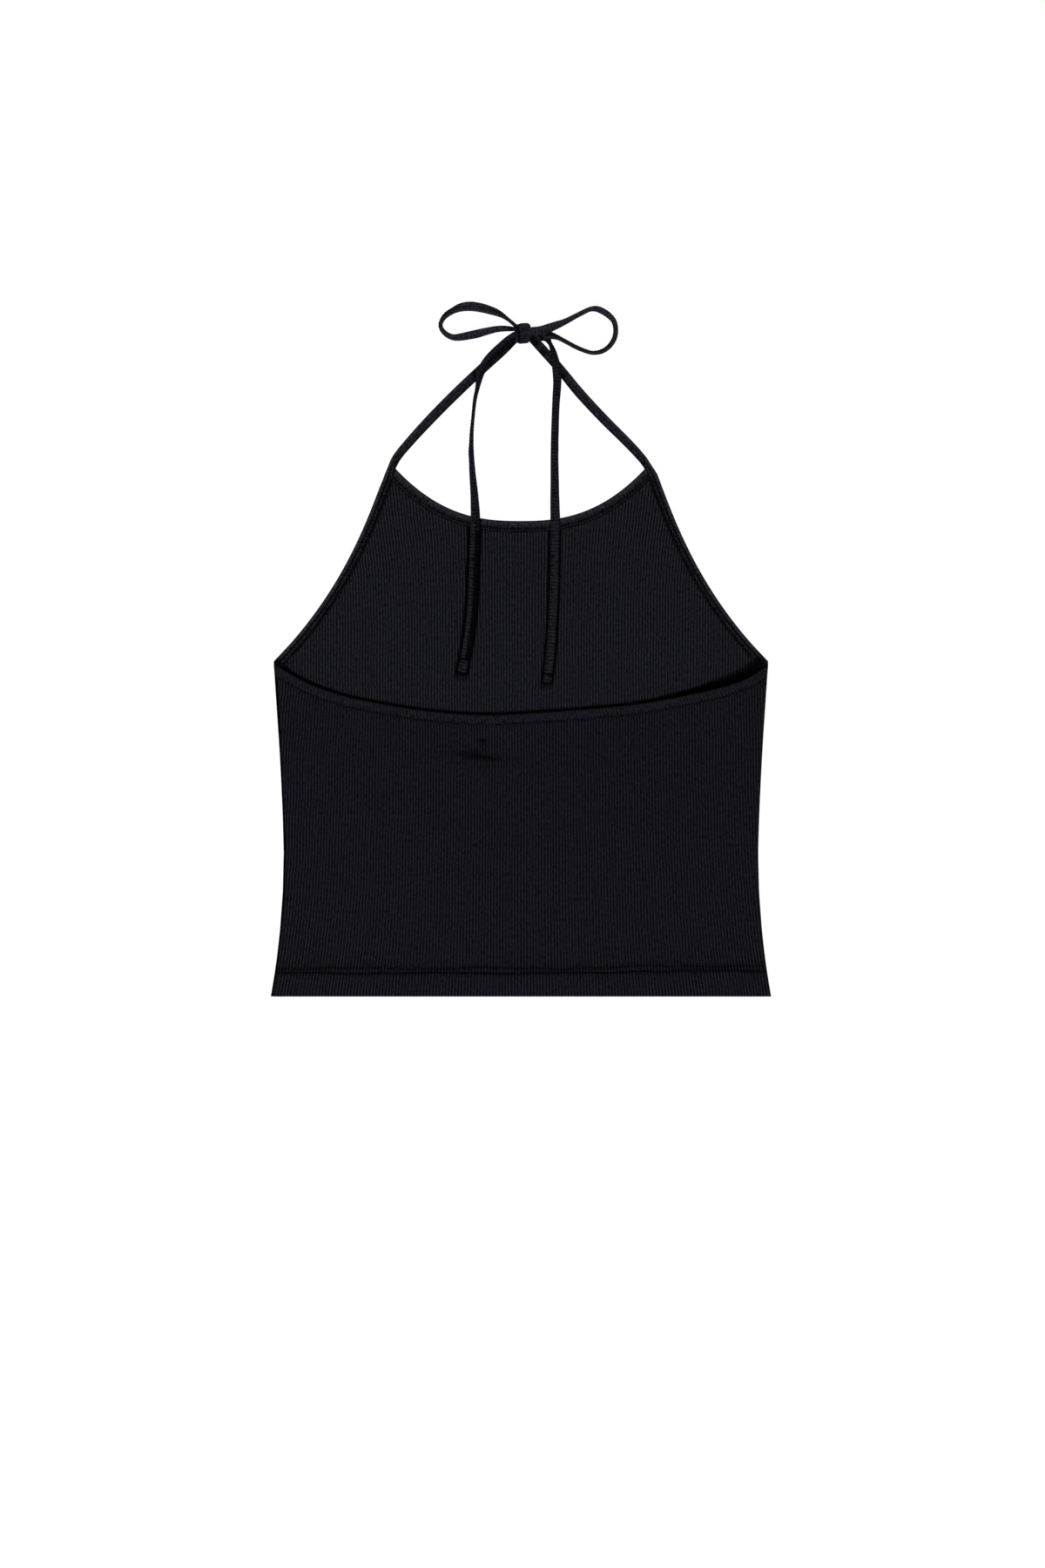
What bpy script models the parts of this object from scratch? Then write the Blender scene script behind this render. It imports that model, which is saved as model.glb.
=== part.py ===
"""Halter neck top in fine rib knit, laid flat with its back uppermost, for Blender 4.5.

The front panel lies on the surface with its inside up, the shorter back panel lies on it, and
narrow folded bindings finish the neckline, the armholes and the back's top edge. The armhole
bindings run on as two ties, which are knotted into a bow behind the neck.
The origin is the middle of the outline, on the surface. +Y points from the hem to the bow,
+X to the wearer's right and +Z up. Sizes here are in millimetres, and heights are measured
from the hem; solid_from() places everything and turns it into metres.
"""

import math

import bmesh
import bpy
import numpy as np
from mathutils import Vector

# Outline, flat
LENGTH = 530.9              # from the hem to the top of the bow
HEM_HALF = 191.5            # half widths
WAIST_HALF = 181.6
BUST_HALF = 189.3
WAIST_HEIGHT = 110.0
SIDE_HEIGHT = 255.5         # where the armhole meets the side
HEM_POWER = 2.0             # how the side curves from the waist to the hem
BUST_POWER = 1.6            # and from the waist to the bust
NECK_X = -0.5               # the neckline's lowest point
NECK_LOW = 363.8
NECK_RISE = 39.6            # how far it rises over NECK_HALF
NECK_HALF = 95.0
NECK_POWER = 2.55
NECK_REACH = 1.06           # share of NECK_HALF at which the neckline's curve ends
NECK_MITRE = (0.21, 0.98)   # run of the seam between the neck binding and the left strap
TIP_HEIGHT = 398.0          # where the front panel's two upper corners are cut off

# The right armhole's outer edge, a cubic curve from the side to the strap: x and height
ARMHOLE = ((190.5, 254.6), (127.0, 318.5), (112.8, 382.0), (99.9, 409.2))

# The back's top edge: how high it is at x, and how far it stands off the front there
BACK_EDGE = (
    # x, height, lift
    (-189.3, 255.0, 0.0),
    (-163.5, 240.2, 1.2),
    (-135.5, 230.2, 1.8),
    (-107.5, 224.3, 1.8),
    (-70.0, 218.5, 1.8),
    (-30.0, 215.6, 2.0),
    (14.5, 217.4, 2.2),
    (52.5, 220.2, 2.4),
    (95.0, 224.7, 3.0),
    (122.5, 229.8, 5.0),
    (150.0, 235.8, 7.5),
    (172.0, 243.2, 5.5),
    (189.3, 253.8, 0.0),
)
LIFT_DEPTH = 70.0           # how far below its edge the back lies down again

# Rows of points up each panel, as shares of the way from the hem's fold to the top edge
FRONT_ROWS = (0.28, 0.55, 0.8, 1.0)
BACK_ROWS = (0.33, 0.66, 0.9, 1.0)

# Cloth
CLOTH = 1.0                 # one layer, in the grooves between ribs
RIB = 0.35                  # how far a rib stands up
GAP = 0.3                   # between neighbouring pieces
FRONT_RIBS = 172
BACK_RIBS = 162
FAN_START = 300.0           # above this the front's ribs lean outwards
FAN = 0.055                 # by this share of x, FAN_REACH higher up
FAN_REACH = 100.0
FAN_POWER = 1.5
HEM_DEPTH = 22.0            # turned up inside, two layers thick
HEM_STEP = 2.5              # over which the turned-up edge ends
HEM_SETTLE = 12.0           # over which the back lies down behind the hem
EDGE_ROUND = 1.0
SIDE_DROP = 0.45            # share of the cloth by which the back rounds off at the side seams
SHARP_ANGLE = math.radians(50)

# Bindings and ties
BAND_WIDTH = 7.5
BACK_BAND_WIDTH = 8.3       # over the back's top edge
BAND_LIP = 1.1              # the fold outside the panel's raw edge
BAND_BEVEL = 0.25           # share of a strip's thickness that its edges are rounded by
BAND_CLEARANCE = 1.2        # between the bindings that meet at a strap's foot
TIE_CLEARANCE = 0.6         # between an armhole tie's lower end and the back's edge
TIE_WIDTH = 6.8
TIE_THICKNESS = 1.8
STRAP_POINT_TURN = 0.93     # share of the armhole curve at which the strap's own table takes over
STATION = 7.5               # spacing of the sections along a band
LOOP_STATION = 5.0          # and along the bow, the tails and the back's binding
TIP_LENGTH = 9.0            # the tie's end, turned over and stitched
TIP_WIDTH = 7.6
TIP_THICKNESS = 2.6

FRONT_TOP = CLOTH + RIB
BACK_BASE = FRONT_TOP + GAP
LAP_HEIGHT = FRONT_TOP + GAP
BAND_THICKNESS = LAP_HEIGHT + CLOTH

# The knot round the middle of the bow
KNOT_X = 1.2
KNOT_HEIGHT = 506.9
KNOT_HALF = (6.0, 7.7, 4.3)  # along X, Y and Z
KNOT_SIDES = 16
KNOT_SQUARENESS = 0.75      # 1 is an ellipse, less is squarer
KNOT_SECTIONS = ((-1.0, 0.86), (-0.82, 1.0), (0.0, 1.0), (0.82, 1.0), (1.0, 0.86))  # place, size

# The straps from the armhole to the knot. The first row is still bound over the front panel.
# z is the middle of the strip.
STRAP_LEFT = (
    # x, height, z, width
    (-98.8, 404.5, 1.33, 5.6),
    (-96.6, 409.6, 0.95, 6.0),
    (-92.4, 415.9, 0.95, 6.2),
    (-86.8, 422.5, 0.95, 6.4),
    (-68.5, 442.5, 0.95, 7.0),
    (-48.6, 462.5, 0.95, 7.2),
    (-28.7, 481.2, 0.95, 7.2),
    (-13.5, 495.0, 0.95, 7.2),
    (-5.1, 503.4, 0.95, 6.8),
)
STRAP_RIGHT = (
    (97.5, 404.5, 1.33, 5.6),
    (94.4, 409.4, 0.95, 5.8),
    (89.2, 415.6, 0.95, 6.2),
    (82.8, 422.4, 0.95, 6.4),
    (62.7, 442.5, 0.95, 6.8),
    (44.2, 462.5, 0.95, 7.0),
    (28.2, 482.0, 0.95, 6.6),
    (15.2, 496.5, 0.95, 6.6),
    (7.5, 505.2, 0.95, 6.6),
)

# The bow's loops, out along the upper side and back along the lower one. tilt turns the strip
# about its own line: 0 lies flat, 90 stands on its edge with the loop's inner edge up.
LOOP_LEFT = (
    # x, height, z, tilt
    (-5.1, 513.4, 4.3, 86),
    (-8.8, 516.8, 4.2, 80),
    (-13.5, 520.2, 4.1, 68),
    (-18.8, 522.9, 3.7, 46),
    (-25.5, 525.3, 3.4, 34),
    (-32.1, 527.1, 3.3, 29),
    (-38.8, 527.9, 3.2, 28),
    (-45.5, 527.1, 3.5, 40),
    (-51.8, 524.3, 3.7, 52),
    (-57.3, 520.8, 3.8, 64),
    (-60.2, 517.3, 3.9, 75),
    (-61.4, 513.5, 3.9, 86),
    (-60.3, 509.9, 3.9, 86),
    (-57.7, 507.0, 3.9, 80),
    (-52.1, 504.3, 3.8, 70),
    (-45.5, 504.6, 3.7, 58),
    (-38.8, 505.8, 3.6, 49),
    (-32.1, 507.3, 3.6, 48),
    (-25.5, 508.9, 3.7, 57),
    (-18.8, 510.3, 3.9, 64),
    (-12.1, 510.7, 4.1, 71),
    (-8.1, 510.5, 4.2, 78),
    (-5.1, 510.2, 4.3, 86),
)
LOOP_RIGHT = (
    (7.5, 507.6, 7.4, 0),
    (15.9, 508.6, 7.3, 8),
    (24.5, 512.4, 6.2, 40),
    (34.5, 516.9, 4.6, 75),
    (41.2, 520.5, 4.1, 86),
    (47.9, 523.9, 4.0, 88),
    (52.5, 525.8, 4.0, 88),
    (57.9, 526.1, 3.9, 78),
    (62.7, 524.1, 3.9, 72),
    (67.2, 520.8, 3.9, 76),
    (70.4, 517.1, 3.9, 80),
    (72.2, 509.2, 3.9, 85),
    (71.1, 503.0, 3.9, 82),
    (66.9, 497.0, 3.9, 78),
    (61.9, 493.5, 3.9, 83),
    (54.5, 492.6, 3.9, 86),
    (47.9, 494.3, 3.9, 86),
    (41.2, 497.1, 3.9, 86),
    (34.5, 500.6, 4.0, 84),
    (27.9, 503.9, 4.3, 72),
    (22.5, 505.3, 5.2, 40),
    (15.9, 505.7, 5.2, 10),
    (7.5, 505.4, 5.2, 0),
)

# The tails, from the knot down over the strap, the neckline and the front's inside
TAIL_LEFT = (
    (-5.1, 504.2, 3.2, 0),
    (-9.5, 501.2, 3.2, 0),
    (-14.8, 496.6, 3.2, 0),
    (-20.3, 491.6, 3.2, 0),
    (-24.8, 486.6, 3.4, 3),
    (-28.0, 482.2, 3.9, 12),
    (-30.5, 477.9, 5.0, 30),
    (-31.8, 471.9, 5.0, 58),
    (-33.2, 465.2, 4.4, 76),
    (-35.1, 455.9, 4.0, 86),
    (-36.5, 443.9, 3.9, 88),
    (-37.6, 429.2, 3.9, 82),
    (-37.9, 415.9, 3.9, 70),
    (-37.1, 402.5, 3.8, 62),
    (-36.0, 389.2, 4.0, 50),
    (-35.2, 375.9, 4.8, 32),
    (-34.9, 365.5, 4.9, 14),
    (-35.0, 354.0, 4.1, 4),
    (-35.5, 342.0, 2.8, 0),
    (-36.1, 322.5, 2.7, 0),
    (-36.9, 302.5, 2.7, 0),
    (-38.4, 285.9, 2.7, 0),
    (-40.2, 272.5, 2.7, 0),
    (-42.3, 261.2, 2.7, 0),
    (-45.3, 247.5, 3.1, 0),
)
TAIL_RIGHT = (
    (7.5, 505.4, 3.1, 0),
    (12.0, 506.2, 3.0, 0),
    (15.8, 505.3, 2.9, -11),
    (19.2, 503.3, 3.0, -30),
    (21.2, 500.4, 4.6, -72),
    (22.9, 497.6, 5.6, -78),
    (24.1, 494.4, 5.6, -66),
    (25.4, 489.2, 5.2, -46),
    (26.9, 482.5, 4.8, -30),
    (27.8, 471.9, 4.6, -34),
    (26.9, 455.9, 3.9, -44),
    (26.1, 435.9, 3.6, -45),
    (25.7, 415.9, 3.5, -42),
    (25.9, 389.2, 4.1, -32),
    (26.1, 374.0, 5.0, -18),
    (26.3, 362.5, 4.7, -8),
    (26.0, 351.0, 3.9, -2),
    (25.8, 338.0, 2.8, 0),
    (25.4, 315.0, 2.7, 0),
    (24.8, 300.0, 2.7, 0),
    (23.8, 280.5, 2.7, 0),
    (22.5, 262.5, 2.7, 0),
    (19.9, 240.0, 3.1, 0),
)

BLACK_RIB = (0.0065, 0.0065, 0.0085)
ROUGHNESS = 0.85


# Curves


def along(points):
    """How far each point is from the first, measured along the points."""
    points = np.asarray(points, float)
    return np.concatenate([[0.0], np.cumsum(np.linalg.norm(np.diff(points, axis=0), axis=1))])


def smooth_curve(rows, spacing):
    """Rows at even steps on a smooth curve through the given rows; each holds x, height, then others."""
    rows = np.asarray(rows, float)
    at = along(rows[:, :2])
    slopes = np.gradient(rows, at, axis=0)
    steps = max(2, round(at[-1] / spacing))
    found = []
    for distance in np.linspace(0, at[-1], steps + 1):
        k = min(np.searchsorted(at, distance, side="right") - 1, len(at) - 2)
        span = at[k + 1] - at[k]
        t = (distance - at[k]) / span
        found.append(
            (1 + 2 * t) * (1 - t) ** 2 * rows[k]
            + t * (1 - t) ** 2 * span * slopes[k]
            + t * t * (3 - 2 * t) * rows[k + 1]
            + t * t * (t - 1) * span * slopes[k + 1]
        )
    return np.array(found)


def cubic(corners, steps=60):
    """Points on the cubic curve that these four corners pull."""
    a, b, c, d = np.asarray(corners, float)
    t = np.linspace(0, 1, steps + 1)[:, None]
    return (1 - t) ** 3 * a + 3 * (1 - t) ** 2 * t * b + 3 * (1 - t) * t * t * c + t**3 * d


def moved_left(points, distance):
    """A flat curve moved to its own left by a distance."""
    run = np.gradient(points, axis=0)
    run /= np.linalg.norm(run, axis=1)[:, None]
    return points + distance * np.stack([-run[:, 1], run[:, 0]], axis=1)


# Outline


def half_width(height):
    """Half the body's width: flared at the hem, drawn in at the waist, wide at the bust."""
    if height < WAIST_HEIGHT:
        return WAIST_HALF + (HEM_HALF - WAIST_HALF) * (1 - height / WAIST_HEIGHT) ** HEM_POWER
    rise = min(1.0, (height - WAIST_HEIGHT) / (SIDE_HEIGHT - WAIST_HEIGHT))
    return WAIST_HALF + (BUST_HALF - WAIST_HALF) * rise**BUST_POWER


def neckline(steps=60):
    """The neckline's upper edge, from the left strap to the right one."""
    x = np.linspace(-NECK_REACH, NECK_REACH, steps + 1)
    rise = NECK_RISE * np.abs(x) ** NECK_POWER
    return np.stack([NECK_X + x * NECK_HALF, NECK_LOW + rise], axis=1)


def back_edge(steps=80):
    """The back's top edge from left to right: x, height and lift."""
    return smooth_curve(BACK_EDGE, 2 * BUST_HALF / steps)


SEAM_IN = BAND_LIP + GAP + 0.1
ARMHOLE_SEAM = moved_left(cubic(ARMHOLE), SEAM_IN)[::-1]
NECK_SEAM = moved_left(neckline(), -SEAM_IN)
BACK_CURVE = back_edge()
BACK_SEAM = moved_left(BACK_CURVE[:, :2], -SEAM_IN)


def front_top(x):
    """How high the front panel reaches at x, inside its bindings."""
    armhole = np.interp(abs(x), ARMHOLE_SEAM[:, 0], ARMHOLE_SEAM[:, 1])
    neck = np.interp(x, NECK_SEAM[:, 0], NECK_SEAM[:, 1], left=LENGTH, right=LENGTH)
    return min(armhole, neck, TIP_HEIGHT)


def back_top(x):
    """How high the back panel reaches at x, inside its binding."""
    return np.interp(x, BACK_SEAM[:, 0], BACK_SEAM[:, 1])


def back_base(x, height):
    """The height of the back panel's underside above the surface."""
    behind_hem = (height - HEM_DEPTH - HEM_STEP) / HEM_SETTLE
    edge = np.interp(x, BACK_CURVE[:, 0], BACK_CURVE[:, 1])
    lift = np.interp(x, BACK_CURVE[:, 0], BACK_CURVE[:, 2])
    off = min(1.0, max(0.0, 1 - (edge - height) / LIFT_DEPTH))
    return BACK_BASE + CLOTH * min(1.0, max(0.0, 1 - behind_hem)) + lift * off * off


# Solids


def solid_from(name, vertices, faces):
    """A named object from points (x, height, z) in millimetres and faces."""
    builder = bmesh.new()
    corners = [
        builder.verts.new(Vector((x, height - LENGTH / 2, z)) / 1000) for x, height, z in vertices
    ]
    for face in faces:
        builder.faces.new([corners[i] for i in face])
    bmesh.ops.recalc_face_normals(builder, faces=builder.faces)
    mesh = bpy.data.meshes.new(name)
    builder.to_mesh(mesh)
    builder.free()
    mesh.shade_smooth()
    mesh.set_sharp_from_angle(angle=SHARP_ANGLE)
    mesh.materials.append(knit_material(name))
    made = bpy.data.objects.new(name, mesh)
    bpy.context.scene.collection.objects.link(made)
    return made


def knit_material(name):
    """Matt black cotton rib."""
    material = bpy.data.materials.new(name + "_rib")
    material.use_nodes = True
    shader = material.node_tree.nodes["Principled BSDF"]
    shader.inputs["Base Color"].default_value = (*BLACK_RIB, 1)
    shader.inputs["Roughness"].default_value = ROUGHNESS
    shader.inputs["Metallic"].default_value = 0
    material.diffuse_color = (*BLACK_RIB, 1)
    return material


def ribbed_panel(name, ribs, ribs_under, rib_line, heights, upper, under):
    """A cloth wall whose upper face has a crest and a groove for each rib, over a plain underside.

    rib_line gives x for a share of the width and a height, heights gives a column's rows, and
    upper and under give the two faces' points. The underside has a column every ribs_under ribs.
    """
    columns = 2 * ribs
    step = 2 * ribs_under
    shares = [i / ribs - 1 for i in range(columns + 1)]
    grid = [heights(share) for share in shares]
    rows = len(grid[0])
    vertices = []
    for i, share in enumerate(shares):
        crest = RIB if i % 2 else 0.0
        for k, height in enumerate(grid[i]):
            vertices.append(upper(rib_line(share, height), height, k, crest))
    first_under = len(vertices)
    for i in range(0, columns + 1, step):
        for k, height in enumerate(grid[i]):
            vertices.append(under(rib_line(shares[i], height), height, k))

    def top(i, k):
        return i * rows + k

    def below(i, k):
        return first_under + i // step * rows + k

    faces = []
    for k in range(rows - 1):
        for i in range(columns):
            faces.append((top(i, k), top(i + 1, k), top(i + 1, k + 1), top(i, k + 1)))
        for i in range(0, columns, step):
            faces.append((below(i, k), below(i, k + 1), below(i + step, k + 1), below(i + step, k)))
        faces.append((top(0, k), top(0, k + 1), below(0, k + 1), below(0, k)))
        faces.append((top(columns, k), below(columns, k), below(columns, k + 1), top(columns, k + 1)))
    for i in range(0, columns, step):
        for k in (0, rows - 1):
            edge = [top(j, k) for j in range(i, i + step + 1)] + [below(i + step, k), below(i, k)]
            faces.append(edge)
    return solid_from(name, vertices, faces)


def strip(name, stations, start_cut=None, end_cut=None, outer=1):
    """A folded strip through its stations: x, height, z, tilt, width, thickness and lap.

    z is the middle of the strip, and tilt raises its left edge. Where lap is 1 the strip folds
    over a panel's raw edge: its lip lies outside that edge, on the left where outer is 1, and
    the rest of it lies on the panel. A cut is a point and a direction of a flat, upright end.
    """
    centres = np.array([station[:3] for station in stations])
    runs = np.gradient(centres, axis=0)
    rings = []
    for centre, run, (tilt, width, thickness, lap) in zip(centres, runs, stations[:, 3:]):
        run = Vector(run).normalized()
        left = Vector((-run.y, run.x, 0)).normalized()
        rise = run.cross(left)
        turn = math.radians(tilt)
        across = (left * math.cos(turn) + rise * math.sin(turn)) * outer
        up = rise * math.cos(turn) - left * math.sin(turn)
        half, bottom, top = width / 2, -thickness / 2, thickness / 2
        bevel = BAND_BEVEL * thickness
        fold = bottom + lap * LAP_HEIGHT
        section = (
            (half, bottom + bevel),
            (half - bevel, bottom),
            (half - BAND_LIP, bottom),
            (lap * (half - BAND_LIP), fold),
            (bevel - half, fold),
            (-half, (fold + top) / 2),
            (bevel - half, top),
            (half - bevel, top),
        )
        rings.append([Vector(centre) + across * a + up * b for a, b in section])
    for cut, ring, run in ((start_cut, rings[0], runs[0]), (end_cut, rings[-1], runs[-1])):
        if cut is not None:
            cut_ring(ring, Vector(run), *cut)
    points = [point for ring in rings for point in ring]
    return solid_from(name, points, tube_faces(len(rings), len(rings[0])))


def tube_faces(rings, sides):
    """The faces of a closed tube whose points run round each ring in turn."""
    last = (rings - 1) * sides
    faces = [tuple(range(sides)), tuple(range(last + sides - 1, last - 1, -1))]
    for k in range(0, last, sides):
        for i in range(sides):
            j = (i + 1) % sides
            faces.append((k + i, k + sides + i, k + sides + j, k + j))
    return faces


def cut_ring(ring, run, at, direction):
    """Slides a ring's points along the strip until they lie in an upright plane."""
    normal = Vector((-direction[1], direction[0], 0))
    for k, point in enumerate(ring):
        ring[k] = point + run * ((Vector((*at, 0)) - point).dot(normal) / run.dot(normal))


# Pieces


def front_panel():
    def rib_line(share, height):
        lean = FAN * (max(0.0, height - FAN_START) / FAN_REACH) ** FAN_POWER
        return share * half_width(height) * (1 + lean)

    def heights(share):
        top = SIDE_HEIGHT
        for _ in range(25):
            top = 0.5 * (top + front_top(rib_line(share, top)))
        hem = HEM_DEPTH + HEM_STEP
        return [0.0, HEM_DEPTH, hem] + [hem + (top - hem) * part for part in FRONT_ROWS]

    def upper(x, height, row, crest):
        layers = 2 if row < 2 else 1
        return x, height, layers * CLOTH + crest

    def under(x, height, row):
        inwards = 1 - EDGE_ROUND / (2 * HEM_HALF) if height < SIDE_HEIGHT - 2 * BAND_WIDTH else 1.0
        return x * inwards, max(height, EDGE_ROUND / 2), 0.0

    ribbed_panel("front_panel", FRONT_RIBS, 4, rib_line, heights, upper, under)


def back_panel():
    def rib_line(share, height):
        return share * half_width(height)

    def heights(share):
        top = SIDE_HEIGHT
        for _ in range(8):
            top = back_top(rib_line(share, top))
        hem = HEM_DEPTH + HEM_STEP
        settled = hem + HEM_SETTLE
        rows = [settled + (top - settled) * part for part in BACK_ROWS]
        return [0.0, EDGE_ROUND, HEM_DEPTH, hem, settled] + rows

    def upper(x, height, row, crest):
        wall = CLOTH * (1.5, 2.0, 2.0, 1.0)[min(row, 3)]
        if abs(x) > half_width(height) - EDGE_ROUND / 2:
            wall *= 1 - SIDE_DROP
        return x, height, back_base(x, height) + wall + crest

    def under(x, height, row):
        return x, height, back_base(x, height)

    ribbed_panel("back_panel", BACK_RIBS, 3, rib_line, heights, upper, under)


def band_stations(path, width, z, tilt=None):
    """Stations of a binding along the middle of its path, with its underside's height as z."""
    count = len(path)
    columns = [
        path[:, 0],
        path[:, 1],
        np.asarray(z) + BAND_THICKNESS / 2,
        np.zeros(count) if tilt is None else tilt,
        np.full(count, width),
        np.full(count, BAND_THICKNESS),
        np.ones(count),
    ]
    return np.stack(columns, axis=1)


def neck_binding():
    path = smooth_curve(moved_left(neckline(28), -BAND_WIDTH / 2), STATION)
    stations = band_stations(path[1:-1], BAND_WIDTH, np.zeros(len(path) - 2))
    cuts = []
    for side, (x, height, _, width) in ((1, STRAP_LEFT[0]), (-1, STRAP_RIGHT[0])):
        foot = (x + side * (width / 2 + BAND_CLEARANCE), height)
        cuts.append((foot, (side * NECK_MITRE[0], NECK_MITRE[1])))
    strip("neck_binding", stations, start_cut=cuts[0], end_cut=cuts[1])


def back_binding():
    path = smooth_curve(moved_left(BACK_CURVE[:, :2], -BACK_BAND_WIDTH / 2), LOOP_STATION)
    path = path[np.abs(path[:, 0]) < BUST_HALF - BACK_BAND_WIDTH / 3]
    run = np.gradient(path, axis=0)
    run /= np.linalg.norm(run, axis=1)[:, None]
    left = np.stack([-run[:, 1], run[:, 0]], axis=1) * BACK_BAND_WIDTH / 2
    outer = [back_base(x, height) for x, height in path + left]
    inner = [back_base(x, height) for x, height in path - left]
    tilt = np.degrees(np.arctan2(np.subtract(outer, inner), BACK_BAND_WIDTH))
    stations = band_stations(path, BACK_BAND_WIDTH, np.add(outer, inner) / 2 + GAP / 2, tilt)
    strip(
        "back_binding",
        stations,
        start_cut=((-BUST_HALF, SIDE_HEIGHT), (0, 1)),
        end_cut=((BUST_HALF, SIDE_HEIGHT), (0, 1)),
    )


def armhole_tie(name, side, strap):
    """One armhole's binding and the strap that it runs on as, up to the knot."""
    armhole = moved_left(cubic(ARMHOLE), BAND_WIDTH / 2)
    rows = [
        (side * x, height, BAND_THICKNESS / 2, 0, BAND_WIDTH, BAND_THICKNESS, 1)
        for x, height in armhole[: round(STRAP_POINT_TURN * len(armhole)) : 6]
    ]
    for k, (x, height, z, width) in enumerate(strap):
        thickness, lap = (TIE_THICKNESS, 0) if k else (BAND_THICKNESS, 1)
        rows.append((x, height, z, 0, width, thickness, lap))
    path = smooth_curve([row[:2] for row in rows], STATION)
    at = along([row[:2] for row in rows])
    reached = np.linspace(0, at[-1], len(path))
    others = [np.interp(reached, at, column) for column in np.transpose(rows)[2:]]
    corner, inwards = (BACK_EDGE[:2], BACK_EDGE[-1:-3:-1])[side > 0]
    run = (inwards[0] - corner[0], inwards[1] - corner[1])
    strip(
        name,
        np.column_stack([path, *others]),
        start_cut=((corner[0], SIDE_HEIGHT + TIE_CLEARANCE), run),
        end_cut=((strap[-1][0], 0), (0, 1)),
        outer=-side,
    )


def bow_loop(name, table):
    rows = smooth_curve(table, LOOP_STATION)
    sizes = np.tile((TIE_WIDTH, TIE_THICKNESS, 0), (len(rows), 1))
    knot_side = ((table[0][0], 0), (0, 1))
    strip(name, np.hstack([rows, sizes]), start_cut=knot_side, end_cut=knot_side)


def tie_tail(name, table):
    rows = smooth_curve(table, LOOP_STATION)
    left = along(rows[:, :2])[-1] - along(rows[:, :2])
    tip = (left < TIP_LENGTH)[:, None]
    sizes = np.where(tip, (TIP_WIDTH, TIP_THICKNESS, 0), (TIE_WIDTH, TIE_THICKNESS, 0))
    strip(name, np.hstack([rows, sizes]), start_cut=((table[0][0], 0), (0, 1)))


def bow_knot():
    """The turn of the tie that holds the bow, a short barrel with rounded ends."""
    vertices = []
    for share, size in KNOT_SECTIONS:
        for i in range(KNOT_SIDES):
            turn = 2 * math.pi * i / KNOT_SIDES
            across = math.copysign(abs(math.cos(turn)) ** KNOT_SQUARENESS, math.cos(turn))
            up = math.copysign(abs(math.sin(turn)) ** KNOT_SQUARENESS, math.sin(turn))
            x = KNOT_X + share * KNOT_HALF[0]
            height = KNOT_HEIGHT + size * across * KNOT_HALF[1]
            vertices.append((x, height, KNOT_HALF[2] * (1 + size * up)))
    solid_from("bow_knot", vertices, tube_faces(len(KNOT_SECTIONS), KNOT_SIDES))


for leftover in list(bpy.data.objects):
    bpy.data.objects.remove(leftover)

front_panel()
back_panel()
neck_binding()
back_binding()
armhole_tie("armhole_tie_left", -1, STRAP_LEFT)
armhole_tie("armhole_tie_right", 1, STRAP_RIGHT)
bow_knot()
bow_loop("bow_loop_left", LOOP_LEFT)
bow_loop("bow_loop_right", LOOP_RIGHT)
tie_tail("tie_tail_left", TAIL_LEFT)
tie_tail("tie_tail_right", TAIL_RIGHT)
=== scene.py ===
"""Halter neck top in black fine rib knit, laid flat with its back uppermost: its finish and sewing.

Tables and sizes are in millimetres: x across, height from the hem, z above the surface.
"""

import math

import bmesh
import bpy
import numpy as np
from mathutils import Matrix, Vector


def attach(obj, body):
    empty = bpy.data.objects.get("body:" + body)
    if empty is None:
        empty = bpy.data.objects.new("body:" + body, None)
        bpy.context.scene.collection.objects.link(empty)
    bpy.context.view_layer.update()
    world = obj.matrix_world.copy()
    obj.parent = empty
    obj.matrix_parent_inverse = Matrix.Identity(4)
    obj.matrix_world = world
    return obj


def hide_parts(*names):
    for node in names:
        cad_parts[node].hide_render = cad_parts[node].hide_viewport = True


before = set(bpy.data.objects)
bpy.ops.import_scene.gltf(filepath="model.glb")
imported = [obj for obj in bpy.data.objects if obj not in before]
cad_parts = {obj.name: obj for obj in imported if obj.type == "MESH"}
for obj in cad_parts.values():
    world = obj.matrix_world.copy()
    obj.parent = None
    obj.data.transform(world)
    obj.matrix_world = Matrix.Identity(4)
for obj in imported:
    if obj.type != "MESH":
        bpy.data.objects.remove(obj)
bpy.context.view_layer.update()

scene = bpy.context.scene

# Stage
# A plain white table under a soft dome, with a wide softbox beyond the hem. The camera looks
# straight down at the top.
VIEW_SIZE = 1.2             # metres of table from the lower to the upper edge of the view
VIEW_CENTRE = (0.0012, -0.1029)
LENS = 100.0
SENSOR = 36.0
CAMERA_HEIGHT = VIEW_SIZE * LENS / SENSOR
TABLE_SIZE = 30.0
TABLE_DROP = 0.0003         # how far it lies under the top
TABLE_WHITE = 0.05
TABLE_GLOW = 0.965          # keeps the table white right up to the cloth
DOME_WHITE = 0.95
DOME_STRENGTH = 0.46
SOFTBOX_PLACE = (-0.45, -1.43, 2.6)
SOFTBOX_SIZE = 0.9
SOFTBOX_POWER = 113.0


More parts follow.
